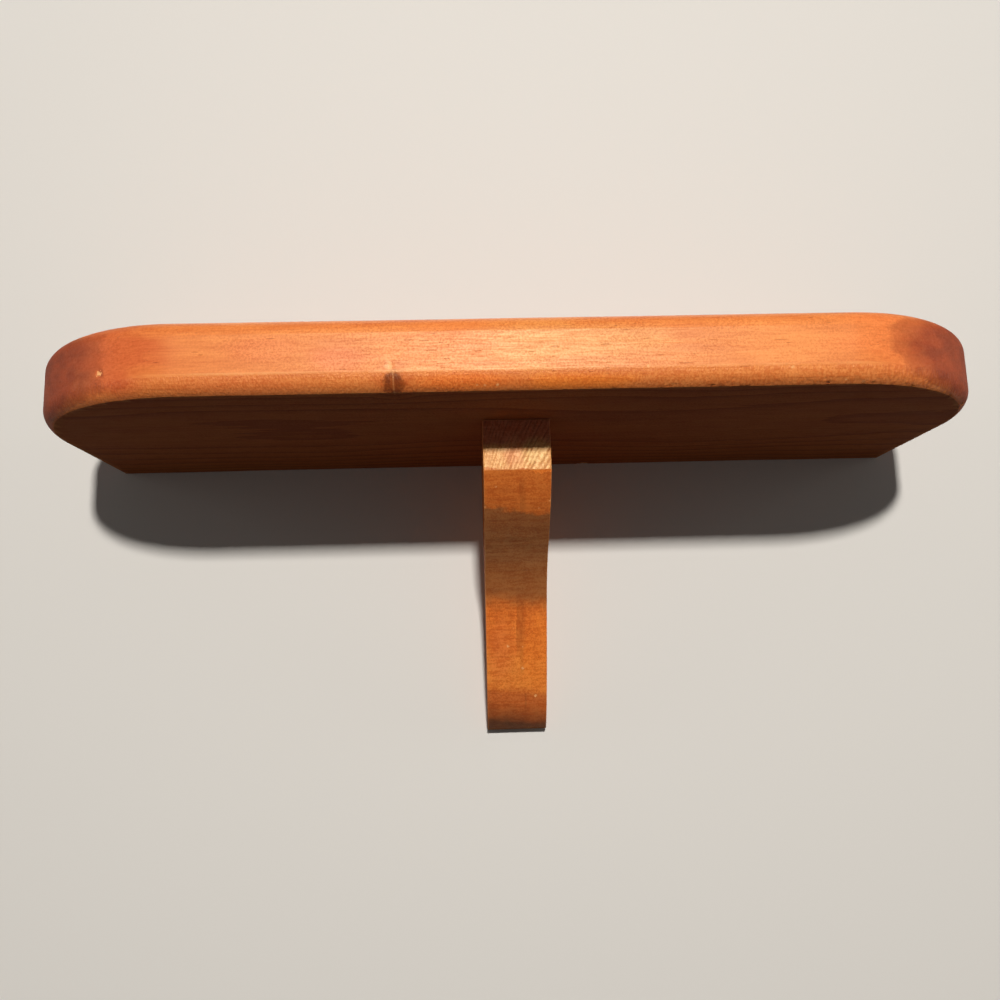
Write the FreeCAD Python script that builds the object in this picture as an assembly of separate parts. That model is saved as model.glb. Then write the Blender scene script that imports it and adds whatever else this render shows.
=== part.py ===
"""A small wall shelf: one round-cornered board on one scrolled bracket, hung on a keyhole plate.

Millimetres. X runs along the shelf, +Y runs into the wall and +Z is up. The pieces are first made with
the board's underside at Z = 0, the wall at Y = 0 and the board's middle at X = 0, and are then moved so
that the origin is where the wall screw's head enters the keyhole, in the plane of the wall.
"""
import FreeCAD
import Part
import math
import os

Vector = FreeCAD.Vector

# Shelf board
board_length = 254.0
board_depth = 89.0
board_thickness = 18.75
corner_radius = 46.0
edge_roundover = 4.5

# Bracket
bracket_thickness = 18.15
bracket_reach = 59.6
bracket_height = 84.6
nose_height = 13.6
toe_depth = 4.0
bracket_side_shift = 1.1

# The bracket's scrolled front, as shares of its run back and its drop between the nose and the toe
belly_pull_shares = (0.27, 0.31)
knee_shares = (0.64, 0.54)
knee_lean_shares = (0.2, 0.36)
shin_pull_share = 0.75
toe_pull_shares = (0.09, 0.03)

# Two countersunk screws that hold the board down on the bracket, and the plugs over their heads
bracket_screw_length = 32.0
bracket_screw_head_radius = 4.1
bracket_screw_shank_radius = 2.1
bracket_screw_root_radius = 1.45
bracket_screw_pitch = 2.8
bracket_screw_point = 4.2
nose_to_front_screw = 15.6
wall_to_rear_screw = 20.0
plug_radius = 4.75
plug_depth = 6.0

# Keyhole plate, let into the bracket's back
plate_length = 44.5
plate_width = 14.0
plate_thickness = 1.6
board_to_plate = 8.0
entry_radius = 4.75
entry_below_middle = 4.5
slot_width = 5.0
seat_rise = 10.0
pocket_side_room = 1.25
pocket_depth = 8.0

# Two countersunk screws that hold the plate
plate_screw_length = 12.0
plate_screw_head_radius = 2.75
plate_screw_shank_radius = 1.4
plate_screw_root_radius = 1.0
plate_screw_pitch = 1.4
plate_screw_point = 2.1
plate_end_to_screw = 4.75

# Shape of every screw
head_half_angle = 41.0
recess_reach_share = 0.56
recess_width_share = 0.2
recess_depth_share = 0.75

# Clearances, and the overrun of a cut past the face that it starts from
screw_clearance = 0.05
plug_clearance = 0.05
plug_gap = 0.3
plate_clearance = 0.1
cut_overrun = 1.0
edge_tolerance = 0.001

# Places worked out from the sizes
plug_floor = board_thickness - plug_depth
screw_setbacks = (wall_to_rear_screw, bracket_reach - nose_to_front_screw)
plate_middle = -board_to_plate - plate_length / 2
entry_height = plate_middle - entry_below_middle
seat_height = entry_height + seat_rise
plate_screw_rise = plate_length / 2 - plate_end_to_screw
hang_point = Vector(bracket_side_shift, 0, entry_height)

up = Vector(0, 0, 1)
out_of_wall = Vector(0, -1, 0)
full_turn = 360.0
quarter_turn = full_turn / 4


def line(start, end):
    """A straight edge between two points."""
    return Part.LineSegment(start, end).toShape()


def bezier(*poles):
    """A curved edge with the given poles."""
    curve = Part.BezierCurve()
    curve.setPoles(list(poles))
    return curve.toShape()


def corner_arc(centre, radius, from_angle):
    """A quarter circle in plan, counter-clockwise from an angle in degrees."""
    angles = [math.radians(from_angle + step * quarter_turn / 2) for step in range(3)]
    points = [centre + Vector(math.cos(a), math.sin(a), 0) * radius for a in angles]
    return Part.Arc(*points).toShape()


def turned(outline):
    """A solid of revolution about Z from (radius, height) points that start and end on the axis."""
    points = [Vector(radius, 0, height) for radius, height in outline]
    wire = Part.makePolygon(points + points[:1])
    return Part.Face(wire).revolve(Vector(0, 0, 0), up, full_turn)


def stadium(low, high, radius, front, depth):
    """An upright round-ended block between two heights of its end centres, from Y = front towards -Y."""
    bottom, top = Vector(0, front, low), Vector(0, front, high)
    side, rise = Vector(radius, 0, 0), Vector(0, 0, radius)
    edges = [
        line(bottom + side, top + side),
        Part.Arc(top + side, top + rise, top - side).toShape(),
        line(top - side, bottom - side),
        Part.Arc(bottom - side, bottom - rise, bottom + side).toShape(),
    ]
    return Part.Face(Part.Wire(edges)).extrude(Vector(0, -depth, 0))


def head_height(head_radius, shank_radius):
    """The height of a countersunk head's cone."""
    return (head_radius - shank_radius) / math.tan(math.radians(head_half_angle))


def wood_screw(length, head_radius, shank_radius, root_radius, plain_length, pitch, point):
    """A countersunk screw that points down from a flat head top at the origin, its thread as rings."""
    cone = head_height(head_radius, shank_radius)
    thread_start = cone + plain_length
    thread_end = length - point
    rings = max(1, round((thread_end - thread_start) / pitch))
    step = (thread_end - thread_start) / rings
    outline = [(0, 0), (head_radius, 0), (shank_radius, -cone), (shank_radius, -thread_start)]
    for ring in range(rings):
        top = thread_start + ring * step
        outline += [(root_radius, -top), (shank_radius, -(top + step / 2)), (root_radius, -(top + step))]
    outline.append((0, -length))
    screw = turned(outline)
    reach = head_radius * recess_reach_share
    width = head_radius * recess_width_share
    depth = cone * recess_depth_share
    for long_x, long_y in ((reach, width), (width, reach)):
        corner = Vector(-long_x, -long_y, -depth)
        screw = screw.cut(Part.makeBox(2 * long_x, 2 * long_y, depth + cut_overrun, corner))
    return screw


def screw_hole(length, head_radius, shank_radius):
    """The hole that such a screw lies in, with its clearance, open above the head."""
    cone = head_height(head_radius, shank_radius)
    head = head_radius + screw_clearance
    shank = shank_radius + screw_clearance
    bottom = -length - screw_clearance
    return turned([(0, cut_overrun), (head, cut_overrun), (head, 0), (shank, -cone), (shank, bottom), (0, bottom)])


def on_board(shape, setback):
    """Place a downward shape on the plug's floor, above the bracket's middle, at a setback from the wall."""
    placed = shape.copy()
    placed.translate(Vector(bracket_side_shift, -setback, plug_floor))
    return placed


def on_plate(shape, height):
    """Turn a downward shape to point away from the wall, with its top in the wall's plane at a height."""
    placed = shape.copy()
    placed.rotate(Vector(0, 0, 0), Vector(1, 0, 0), -quarter_turn)
    placed.translate(Vector(bracket_side_shift, 0, height))
    return placed


def plate_screw_heights():
    """The heights of the plate's lower and upper screw."""
    return (plate_middle - plate_screw_rise, plate_middle + plate_screw_rise)


def bracket_screw_cut():
    """The hole of one bracket screw, in its own place."""
    return screw_hole(bracket_screw_length, bracket_screw_head_radius, bracket_screw_shank_radius)


def plate_screw_cut():
    """The hole of one plate screw, in its own place."""
    return screw_hole(plate_screw_length, plate_screw_head_radius, plate_screw_shank_radius)


def make_shelf_board():
    """The board: square at the wall, round front corners, rounded over along its front and sides."""
    half = board_length / 2
    straight = half - corner_radius
    centre_y = -board_depth + corner_radius
    back_left, back_right = Vector(-half, 0, 0), Vector(half, 0, 0)
    edges = [
        line(back_left, Vector(-half, centre_y, 0)),
        corner_arc(Vector(-straight, centre_y, 0), corner_radius, 2 * quarter_turn),
        line(Vector(-straight, -board_depth, 0), Vector(straight, -board_depth, 0)),
        corner_arc(Vector(straight, centre_y, 0), corner_radius, -quarter_turn),
        line(Vector(half, centre_y, 0), back_right),
        line(back_right, back_left),
    ]
    board = Part.Face(Part.Wire(edges)).extrude(Vector(0, 0, board_thickness))
    rims = [
        edge
        for edge in board.Edges
        if edge.BoundBox.ZLength < edge_tolerance and edge.BoundBox.YMin < -edge_tolerance
    ]
    board = board.makeFillet(edge_roundover, rims)
    for setback in screw_setbacks:
        plug_hole = Part.makeCylinder(plug_radius, plug_depth + cut_overrun)
        board = board.cut([on_board(plug_hole, setback), on_board(bracket_screw_cut(), setback)])
    return board


def scroll_point(run_share, drop_share):
    """A point of the bracket's front, from its shares of the run and the drop between nose and toe."""
    run = bracket_reach - toe_depth
    drop = bracket_height - nose_height
    return Vector(0, -bracket_reach + run * run_share, -nose_height - drop * drop_share)


def make_bracket():
    """The bracket: a square nose, a scrolled front and a thin toe, let in at the back for the plate."""
    knee_run, knee_drop = knee_shares
    lean_run, lean_drop = knee_lean_shares
    pull_run, pull_drop = toe_pull_shares
    nose, knee, toe = scroll_point(0, 0), scroll_point(*knee_shares), scroll_point(1, 1)
    into_knee = scroll_point(knee_run - lean_run, knee_drop - lean_drop)
    past_knee = scroll_point(knee_run + lean_run * shin_pull_share, knee_drop + lean_drop * shin_pull_share)
    top_front, top_back, heel = Vector(0, -bracket_reach, 0), Vector(0, 0, 0), Vector(0, 0, -bracket_height)
    edges = [
        line(top_front, nose),
        bezier(nose, scroll_point(*belly_pull_shares), into_knee, knee),
        bezier(knee, past_knee, scroll_point(1 - pull_run, 1 - pull_drop), toe),
        line(toe, heel),
        line(heel, top_back),
        line(top_back, top_front),
    ]
    bracket = Part.Face(Part.Wire(edges)).extrude(Vector(bracket_thickness, 0, 0))
    bracket.translate(Vector(bracket_side_shift - bracket_thickness / 2, 0, 0))
    cuts = [on_board(bracket_screw_cut(), setback) for setback in screw_setbacks]
    cuts += [on_plate(plate_screw_cut(), height) for height in plate_screw_heights()]
    return bracket.cut(cuts + [plate_recess(), screw_head_pocket()])


def plate_block(side_room, front, depth):
    """The plate's outline as a block, grown by a side room, at the bracket's middle."""
    radius = plate_width / 2
    rise = plate_length / 2 - radius
    block = stadium(plate_middle - rise, plate_middle + rise, radius + side_room, front, depth)
    block.translate(Vector(bracket_side_shift, 0, 0))
    return block


def plate_recess():
    """The shallow recess that the plate lies in, flush with the bracket's back."""
    return plate_block(plate_clearance, cut_overrun, cut_overrun + plate_thickness)


def screw_head_pocket():
    """The hollow behind the plate where the wall screw's head goes in and slides up."""
    radius = entry_radius + pocket_side_room
    pocket = stadium(entry_height, seat_height, radius, 0, plate_thickness + pocket_depth)
    pocket.translate(Vector(bracket_side_shift, 0, 0))
    return pocket


def make_keyhole_plate():
    """The plate: round ends, a keyhole and two countersunk screw holes."""
    plate = plate_block(0, 0, plate_thickness)
    through = plate_thickness + 2 * cut_overrun
    entry_start = Vector(bracket_side_shift, cut_overrun, entry_height)
    entry = Part.makeCylinder(entry_radius, through, entry_start, out_of_wall)
    slot = stadium(entry_height, seat_height, slot_width / 2, cut_overrun, through)
    slot.translate(Vector(bracket_side_shift, 0, 0))
    cuts = [on_plate(plate_screw_cut(), height) for height in plate_screw_heights()]
    return plate.cut([entry, slot] + cuts)


def make_bracket_screws():
    """The two long screws, plain through the board and threaded in the bracket."""
    cone = head_height(bracket_screw_head_radius, bracket_screw_shank_radius)
    screw = wood_screw(
        bracket_screw_length,
        bracket_screw_head_radius,
        bracket_screw_shank_radius,
        bracket_screw_root_radius,
        plug_floor - cone,
        bracket_screw_pitch,
        bracket_screw_point,
    )
    return Part.makeCompound([on_board(screw, setback) for setback in screw_setbacks])


def make_screw_plugs():
    """The two plugs, flush with the board's top."""
    plug = Part.makeCylinder(plug_radius - plug_clearance, plug_depth - plug_gap, Vector(0, 0, plug_gap))
    return Part.makeCompound([on_board(plug, setback) for setback in screw_setbacks])


def make_plate_screws():
    """The two short screws, threaded from under their heads."""
    screw = wood_screw(
        plate_screw_length,
        plate_screw_head_radius,
        plate_screw_shank_radius,
        plate_screw_root_radius,
        0,
        plate_screw_pitch,
        plate_screw_point,
    )
    return Part.makeCompound([on_plate(screw, height) for height in plate_screw_heights()])


def main():
    """Make every piece, move it to the shelf's own origin and write it."""
    makers = {
        "shelf_board": make_shelf_board,
        "bracket": make_bracket,
        "bracket_screws": make_bracket_screws,
        "screw_plugs": make_screw_plugs,
        "keyhole_plate": make_keyhole_plate,
        "plate_screws": make_plate_screws,
    }
    os.makedirs("parts", exist_ok=True)
    for node, make in makers.items():
        shape = make()
        shape.translate(-hang_point)
        shape.exportStep(os.path.join("parts", node + ".step"))
        box = shape.optimalBoundingBox(False, False)
        print(node, "solids", len(shape.Solids), "valid", shape.isValid(), "volume", round(shape.Volume, 1))
        print("   x", round(box.XMin, 2), round(box.XMax, 2), "y", round(box.YMin, 2), round(box.YMax, 2))
        print("   z", round(box.ZMin, 2), round(box.ZMax, 2))


main()
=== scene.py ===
"""A small wall shelf in stained pine: one round-cornered board on one scrolled bracket.

Metres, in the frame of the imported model: X runs along the shelf, +Y runs into the wall and +Z is up. The
shelf lies with its back on a pale sheet, which is the wall's plane, and the camera looks at its front edge
from a little below. Materials measure their patterns in millimetres of object space.
"""

import logging
import math
from dataclasses import dataclass, field
from enum import Enum
from typing import Callable, Iterable, Sequence, Union

import bmesh
import bpy
from mathutils import Matrix, Vector, noise
from mathutils.geometry import interpolate_bezier


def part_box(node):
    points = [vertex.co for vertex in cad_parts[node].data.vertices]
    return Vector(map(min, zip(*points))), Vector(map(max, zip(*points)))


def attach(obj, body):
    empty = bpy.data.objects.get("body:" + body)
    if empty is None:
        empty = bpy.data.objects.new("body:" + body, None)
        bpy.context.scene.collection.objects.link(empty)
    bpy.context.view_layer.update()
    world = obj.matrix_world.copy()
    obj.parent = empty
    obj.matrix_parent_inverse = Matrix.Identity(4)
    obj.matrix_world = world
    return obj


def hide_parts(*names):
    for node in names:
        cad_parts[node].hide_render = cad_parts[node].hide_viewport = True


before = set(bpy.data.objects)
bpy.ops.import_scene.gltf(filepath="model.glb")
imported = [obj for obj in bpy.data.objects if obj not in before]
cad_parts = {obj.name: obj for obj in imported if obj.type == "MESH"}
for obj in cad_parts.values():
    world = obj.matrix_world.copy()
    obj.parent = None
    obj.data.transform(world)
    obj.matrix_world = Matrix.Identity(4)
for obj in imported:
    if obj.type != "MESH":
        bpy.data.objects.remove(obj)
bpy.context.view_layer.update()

log = logging.getLogger("wall_shelf")

MM = 0.001
FULL_TURN = math.tau

Colour = tuple[float, float, float]
Place = tuple[float, float, float]
Value = Union[float, Sequence[float], bpy.types.NodeSocket]


class Grain(Enum):
    """The direction that a piece of wood's fibres run in, as an index of X, Y and Z."""

    ALONG_SHELF = 0
    UPRIGHT = 2


class Mark(Enum):
    """Names of the measures that a piece's points carry for its finish."""

    KERF = "kerf"
    WORN = "worn"


def smooth_step(low: float, high: float, value: float, least: float = 0.0) -> float:
    """Rise smoothly from a least share at low to 1 at high."""
    share = min(1.0, max(0.0, (value - low) / (high - low)))
    return least + (1.0 - least) * (share * share * (3.0 - 2.0 * share))


@dataclass(frozen=True)
class Cloud:
    """A soft noise in object space, with its number of grains per millimetre along X, Y and Z."""

    scale: Place
    detail: float = 2.0
    rough: float = 0.5
    shift: Place = (0.0, 0.0, 0.0)


class Graph:
    """The node tree of one material, with a method for each kind of step.

    Wherever a step takes a Value, it takes a constant or the output of another step.
    """

    def __init__(self, name: str) -> None:
        """Make an empty material with a principled surface.

        Args:
            name: The material's name.
        """
        self.material = bpy.data.materials.new(name)
        self.material.use_nodes = True
        self.tree = self.material.node_tree
        self.tree.nodes.clear()
        self.output = self.node("ShaderNodeOutputMaterial")
        self.surface = self.node("ShaderNodeBsdfPrincipled")
        self.tree.links.new(self.surface.outputs[0], self.output.inputs["Surface"])
        coordinates = self.node("ShaderNodeTexCoord")
        self.normal = coordinates.outputs["Normal"]
        self.point = self.scaled(coordinates.outputs["Object"], (1 / MM,) * 3)

    def node(self, kind: str) -> bpy.types.Node:
        """Add one node."""
        return self.tree.nodes.new(kind)

    def feed(self, socket: bpy.types.NodeSocket, value: Value) -> None:
        """Give an input a constant, or link it to an output.

        Args:
            socket: The input.
            value: What it gets.
        """
        if isinstance(value, bpy.types.NodeSocket):
            self.tree.links.new(value, socket)
        elif isinstance(value, (int, float)):
            socket.default_value = value
        else:
            size = len(socket.default_value)
            socket.default_value = (*value, 1.0)[:size]

    def scaled(self, vector: Value, scale: Sequence[float], shift: Sequence[float] = (0, 0, 0)) -> Value:
        """Scale a vector and shift it afterwards.

        Args:
            vector: The vector.
            scale: Its three factors.
            shift: What is added after scaling.

        Returns:
            The new vector.
        """
        node = self.node("ShaderNodeMapping")
        self.feed(node.inputs["Vector"], vector)
        node.inputs["Scale"].default_value = scale
        node.inputs["Location"].default_value = shift
        return node.outputs[0]

    def centred(self, middle: Place, radii: Place) -> Value:
        """Coordinates that are 0 in a middle and 1 long at the radii round it, both in millimetres."""
        shift = tuple(-place / radius for place, radius in zip(middle, radii))
        return self.scaled(self.point, tuple(1 / radius for radius in radii), shift)

    def math(self, operation: str, *values: Value, clamp: bool = False) -> Value:
        """Work out one number from others.

        Args:
            operation: The node's name for the operation.
            values: Its inputs, in order.
            clamp: Whether the result is kept between 0 and 1.

        Returns:
            The number.
        """
        node = self.node("ShaderNodeMath")
        node.operation = operation
        node.use_clamp = clamp
        for socket, value in zip(node.inputs, values):
            self.feed(socket, value)
        return node.outputs[0]

    def product(self, *values: Value) -> Value:
        """Multiply some numbers.

        Args:
            values: The numbers.

        Returns:
            Their product.
        """
        result = values[0]
        for value in values[1:]:
            result = self.math("MULTIPLY", result, value)
        return result

    def total(self, *values: Value) -> Value:
        """Add some numbers up.

        Args:
            values: The numbers.

        Returns:
            Their total.
        """
        result = values[0]
        for value in values[1:]:
            result = self.math("ADD", result, value)
        return result

    def vector_math(self, operation: str, *values: Value) -> Value:
        """Work out a vector, or for a length one number.

        Args:
            operation: The node's name for the operation.
            values: Its inputs, in order.

        Returns:
            The vector or the length.
        """
        node = self.node("ShaderNodeVectorMath")
        node.operation = operation
        for socket, value in zip(node.inputs, values):
            self.feed(socket, value)
        return node.outputs["Value" if operation == "LENGTH" else "Vector"]

    def part(self, vector: Value, axis: int) -> Value:
        """One coordinate of a vector.

        Args:
            vector: The vector.
            axis: 0, 1 or 2 for X, Y or Z.

        Returns:
            The coordinate.
        """
        node = self.node("ShaderNodeSeparateXYZ")
        self.feed(node.inputs[0], vector)
        return node.outputs[axis]

    def noise(self, vector: Value, detail: float = 2.0, rough: float = 0.5, output: str = "Fac") -> Value:
        """Soft noise with a grain of about one unit of its vector.

        Args:
            vector: The coordinates.
            detail: How many finer layers are added.
            rough: How strong the finer layers are.
            output: The noise node's output that is wanted.

        Returns:
            The noise, about 0.5.
        """
        node = self.node("ShaderNodeTexNoise")
        self.feed(node.inputs["Vector"], vector)
        node.inputs["Scale"].default_value = 1.0
        node.inputs["Detail"].default_value = detail
        node.inputs["Roughness"].default_value = rough
        return node.outputs[output]

    def cloud(self, cloud: Cloud) -> Value:
        """A noise in object space."""
        return self.noise(self.scaled(self.point, cloud.scale, cloud.shift), cloud.detail, cloud.rough)

    def swing(self, noise: Value, reach: float, margin: float = 0.3) -> Value:
        """Spread a noise over -reach to reach, with a margin of its own range left out at both ends."""
        return self.step(noise, margin, 1.0 - margin, -reach, reach)

    def step(self, value: Value, low: float, high: float, to_low: float = 0.0, to_high: float = 1.0) -> Value:
        """Go smoothly from one number to another as a value passes from low to high.

        Args:
            value: The value that passes.
            low: Where the change begins.
            high: Where it ends.
            to_low: The number up to low.
            to_high: The number from high on.

        Returns:
            The changing number.
        """
        node = self.node("ShaderNodeMapRange")
        node.interpolation_type = "SMOOTHSTEP"
        self.feed(node.inputs["Value"], value)
        node.inputs["From Min"].default_value = low
        node.inputs["From Max"].default_value = high
        node.inputs["To Min"].default_value = to_low
        node.inputs["To Max"].default_value = to_high
        return node.outputs[0]

    def mix(self, share: Value, first: Value, second: Value, blend: str = "MIX") -> Value:
        """Mix two colours.

        Args:
            share: How much of the second colour there is.
            first: The first colour.
            second: The second colour.
            blend: The way they mix.

        Returns:
            The mixed colour.
        """
        node = self.node("ShaderNodeMix")
        node.data_type = "RGBA"
        node.blend_type = blend
        self.feed(node.inputs["Factor"], share)
        self.feed(node.inputs["A"], first)
        self.feed(node.inputs["B"], second)
        return node.outputs["Result"]

    def tinted(self, colour: Value, tint: Colour) -> Value:
        """A colour times a tint."""
        return self.mix(1.0, colour, tint, "MULTIPLY")

    def mix_surfaces(self, share: Value, first: Value, second: Value) -> Value:
        """Mix two surfaces.

        Args:
            share: How much of the second surface there is.
            first: The first surface.
            second: The second surface.

        Returns:
            The mixed surface.
        """
        node = self.node("ShaderNodeMixShader")
        for socket, value in zip(node.inputs, (share, first, second)):
            self.feed(socket, value)
        return node.outputs[0]

    def ramp(self, value: Value, stops: Sequence[tuple[float, float]]) -> Value:
        """Read a number off a smooth line through some stops.

        Args:
            value: Where on the line, from 0 to 1.
            stops: The line's (place, height) points.

        Returns:
            The height there.
        """
        node = self.node("ShaderNodeFloatCurve")
        curve = node.mapping.curves[0]
        while len(curve.points) < len(stops):
            curve.points.new(0.5, 0.5)
        for point, (place, height) in zip(curve.points, stops):
            point.location = (place, height)
            point.handle_type = "AUTO_CLAMPED"
        node.mapping.update()
        self.feed(node.inputs["Value"], value)
        return node.outputs[0]

    def attribute(self, mark: Mark) -> Value:
        """A measure that the piece's points carry.

        Args:
            mark: The measure.

        Returns:
            Its value.
        """
        node = self.node("ShaderNodeAttribute")
        node.attribute_name = mark.value
        return node.outputs["Fac"]

    def bump(self, height: Value, distance: float) -> Value:
        """Turn a height into relief.

        Args:
            height: The height, from 0 to 1.
            distance: The relief's depth in metres.

        Returns:
            The bent normal.
        """
        node = self.node("ShaderNodeBump")
        node.inputs["Strength"].default_value = 1.0
        node.inputs["Distance"].default_value = distance
        self.feed(node.inputs["Height"], height)
        return node.outputs[0]

    def finish(self, colour: Value, roughness: Value, normal: Value | None = None) -> bpy.types.Material:
        """Connect the finished steps to the surface.

        Args:
            colour: The surface's colour.
            roughness: Its roughness.
            normal: Its normal, where a relief bends it.

        Returns:
            The material.
        """
        self.feed(self.surface.inputs["Base Color"], colour)
        self.feed(self.surface.inputs["Roughness"], roughness)
        if normal is not None:
            self.feed(self.surface.inputs["Normal"], normal)
        return self.material


@dataclass(frozen=True)
class Knot:
    """A tight knot: its middle and its radii along X, Y and Z in millimetres, and what it looks like.

    Its rings' spacing is a share of its radii.
    """

    middle: Place
    radii: Place
    halo_tint: Colour = (0.8, 0.55, 0.42)
    heart: Colour = (0.2, 0.034, 0.006)
    lobe: Colour = (0.38, 0.08, 0.012)
    ring: Colour = (0.18, 0.03, 0.005)
    split: Colour = (0.72, 0.3, 0.11)
    pale_line_width: float = 0.26
    ring_spacing: float = 0.13


@dataclass(frozen=True)
class Patch:
    """A place with a colour of its own, mostly where the stain took differently and on the bracket's nose
    partly a painted highlight: its middle and radii in millimetres, and its colour.

    It is solid out to a share of its radii, and fades from there.
    """

    middle: Place
    radii: Place
    colour: Colour
    strength: float
    solid: float = 0.3


@dataclass(frozen=True)
class Fleck:
    """A short dark pore line in the board's front: its place along the shelf, height and half length."""

    along: float
    height: float
    half_length: float
    half_depth: float = 2.0
    half_height: float = 0.15


@dataclass(frozen=True)
class Nick:
    """A small dent: place, radius and depth in millimetres, and how pale it shows, or how dark below 0."""

    place: Place
    radius: float
    depth: float
    shows: float


@dataclass(frozen=True)
class Band:
    """A level stretch of a front with a colour of its own, mostly where the stain took differently, with its
    heights in millimetres. On the bracket's nose one band is painted shade and one is partly a painted
    highlight.
    """

    bottom: float
    top: float
    bottom_fade: float
    top_fade: float
    colour: Colour
    strength: float
    wander: float = 0.7
    lean: float = 0.12


@dataclass(frozen=True)
class Streak:
    """A dark streak up an upright grain, crisp on its left and fading to its right, in millimetres."""

    left: float
    width: float
    bottom: float
    top: float
    strength: float


@dataclass(frozen=True)
class Figure:
    """What a wood shows at a point, as numbers from 0 to 1."""

    late: Value
    end: Value
    front: Value
    fibre: Value
    streaks: Value
    stipple: Value
    mottle: Value


@dataclass(frozen=True)
class Grained:
    """A soft noise that follows the fibres, with its grain's length in millimetres along and across them."""

    along: float
    across: float
    detail: float = 2.0
    rough: float = 0.5


FIBRES = Grained(7.0, 0.42, rough=0.6)
STREAKS = Grained(46.0, 1.7)
MOTTLE = Grained(20.0, 6.5)
RING_WARP = Grained(70.0, 22.0, 1.0, 0.4)
RING_WANDER = Grained(30.0, 2.2)
PORES = Grained(2.4, 0.26, 1.0, 0.4)
PORE_GROUPS = Grained(15.0, 6.0, 1.0)
STIPPLE_GROUPS = Grained(16.0, 6.0, 1.0)

STIPPLE = Cloud((1.8, 1.8, 1.8), 3.0, 0.75)
END_EDGE = Cloud((0.25, 0.25, 0.25))
END_SMUDGES = Cloud((0.16, 0.16, 0.3), 3.0, 0.6)
BAND_EDGE = Cloud((0.3, 0.1, 0.5), 4.0, 0.55)
STREAK_EDGE = Cloud((0.0, 0.1, 0.16))
FINE_FUZZ = Cloud((2.6, 1.3, 1.3), rough=0.6)
COARSE_FUZZ = Cloud((1.7, 0.75, 0.75), rough=0.65, shift=(7.0, 0.0, 0.0))
FUZZ_EDGE = Cloud((0.9, 0.9, 0.9))
CROSS_LINES = Cloud((0.24, 0.6, 1.5), 3.0, 0.75)
CROSS_ARCS = Cloud((0.34, 0.34, 0.34), 5.0, 0.75, (3.0, 9.0, 1.0))
NICK_EDGE = Cloud((2.2, 2.2, 2.2))
KNOT_EDGE = Cloud((0.7, 0.7, 0.5), rough=0.6)
KNOT_LOBES = Cloud((0.9, 0.9, 0.4))
STEEL_SCRATCHES = Cloud((6.0, 6.0, 0.4), 3.0, 0.6)
STEEL_CLOUDS = Cloud((0.22, 0.22, 0.22), 3.0, 0.6)
STEEL_GRIT = Cloud((4.0, 4.0, 4.0), rough=0.6)

RING_PROFILE = ((0.0, 0.05), (0.45, 0.15), (0.8, 0.6), (0.93, 1.0), (1.0, 0.05))


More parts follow.
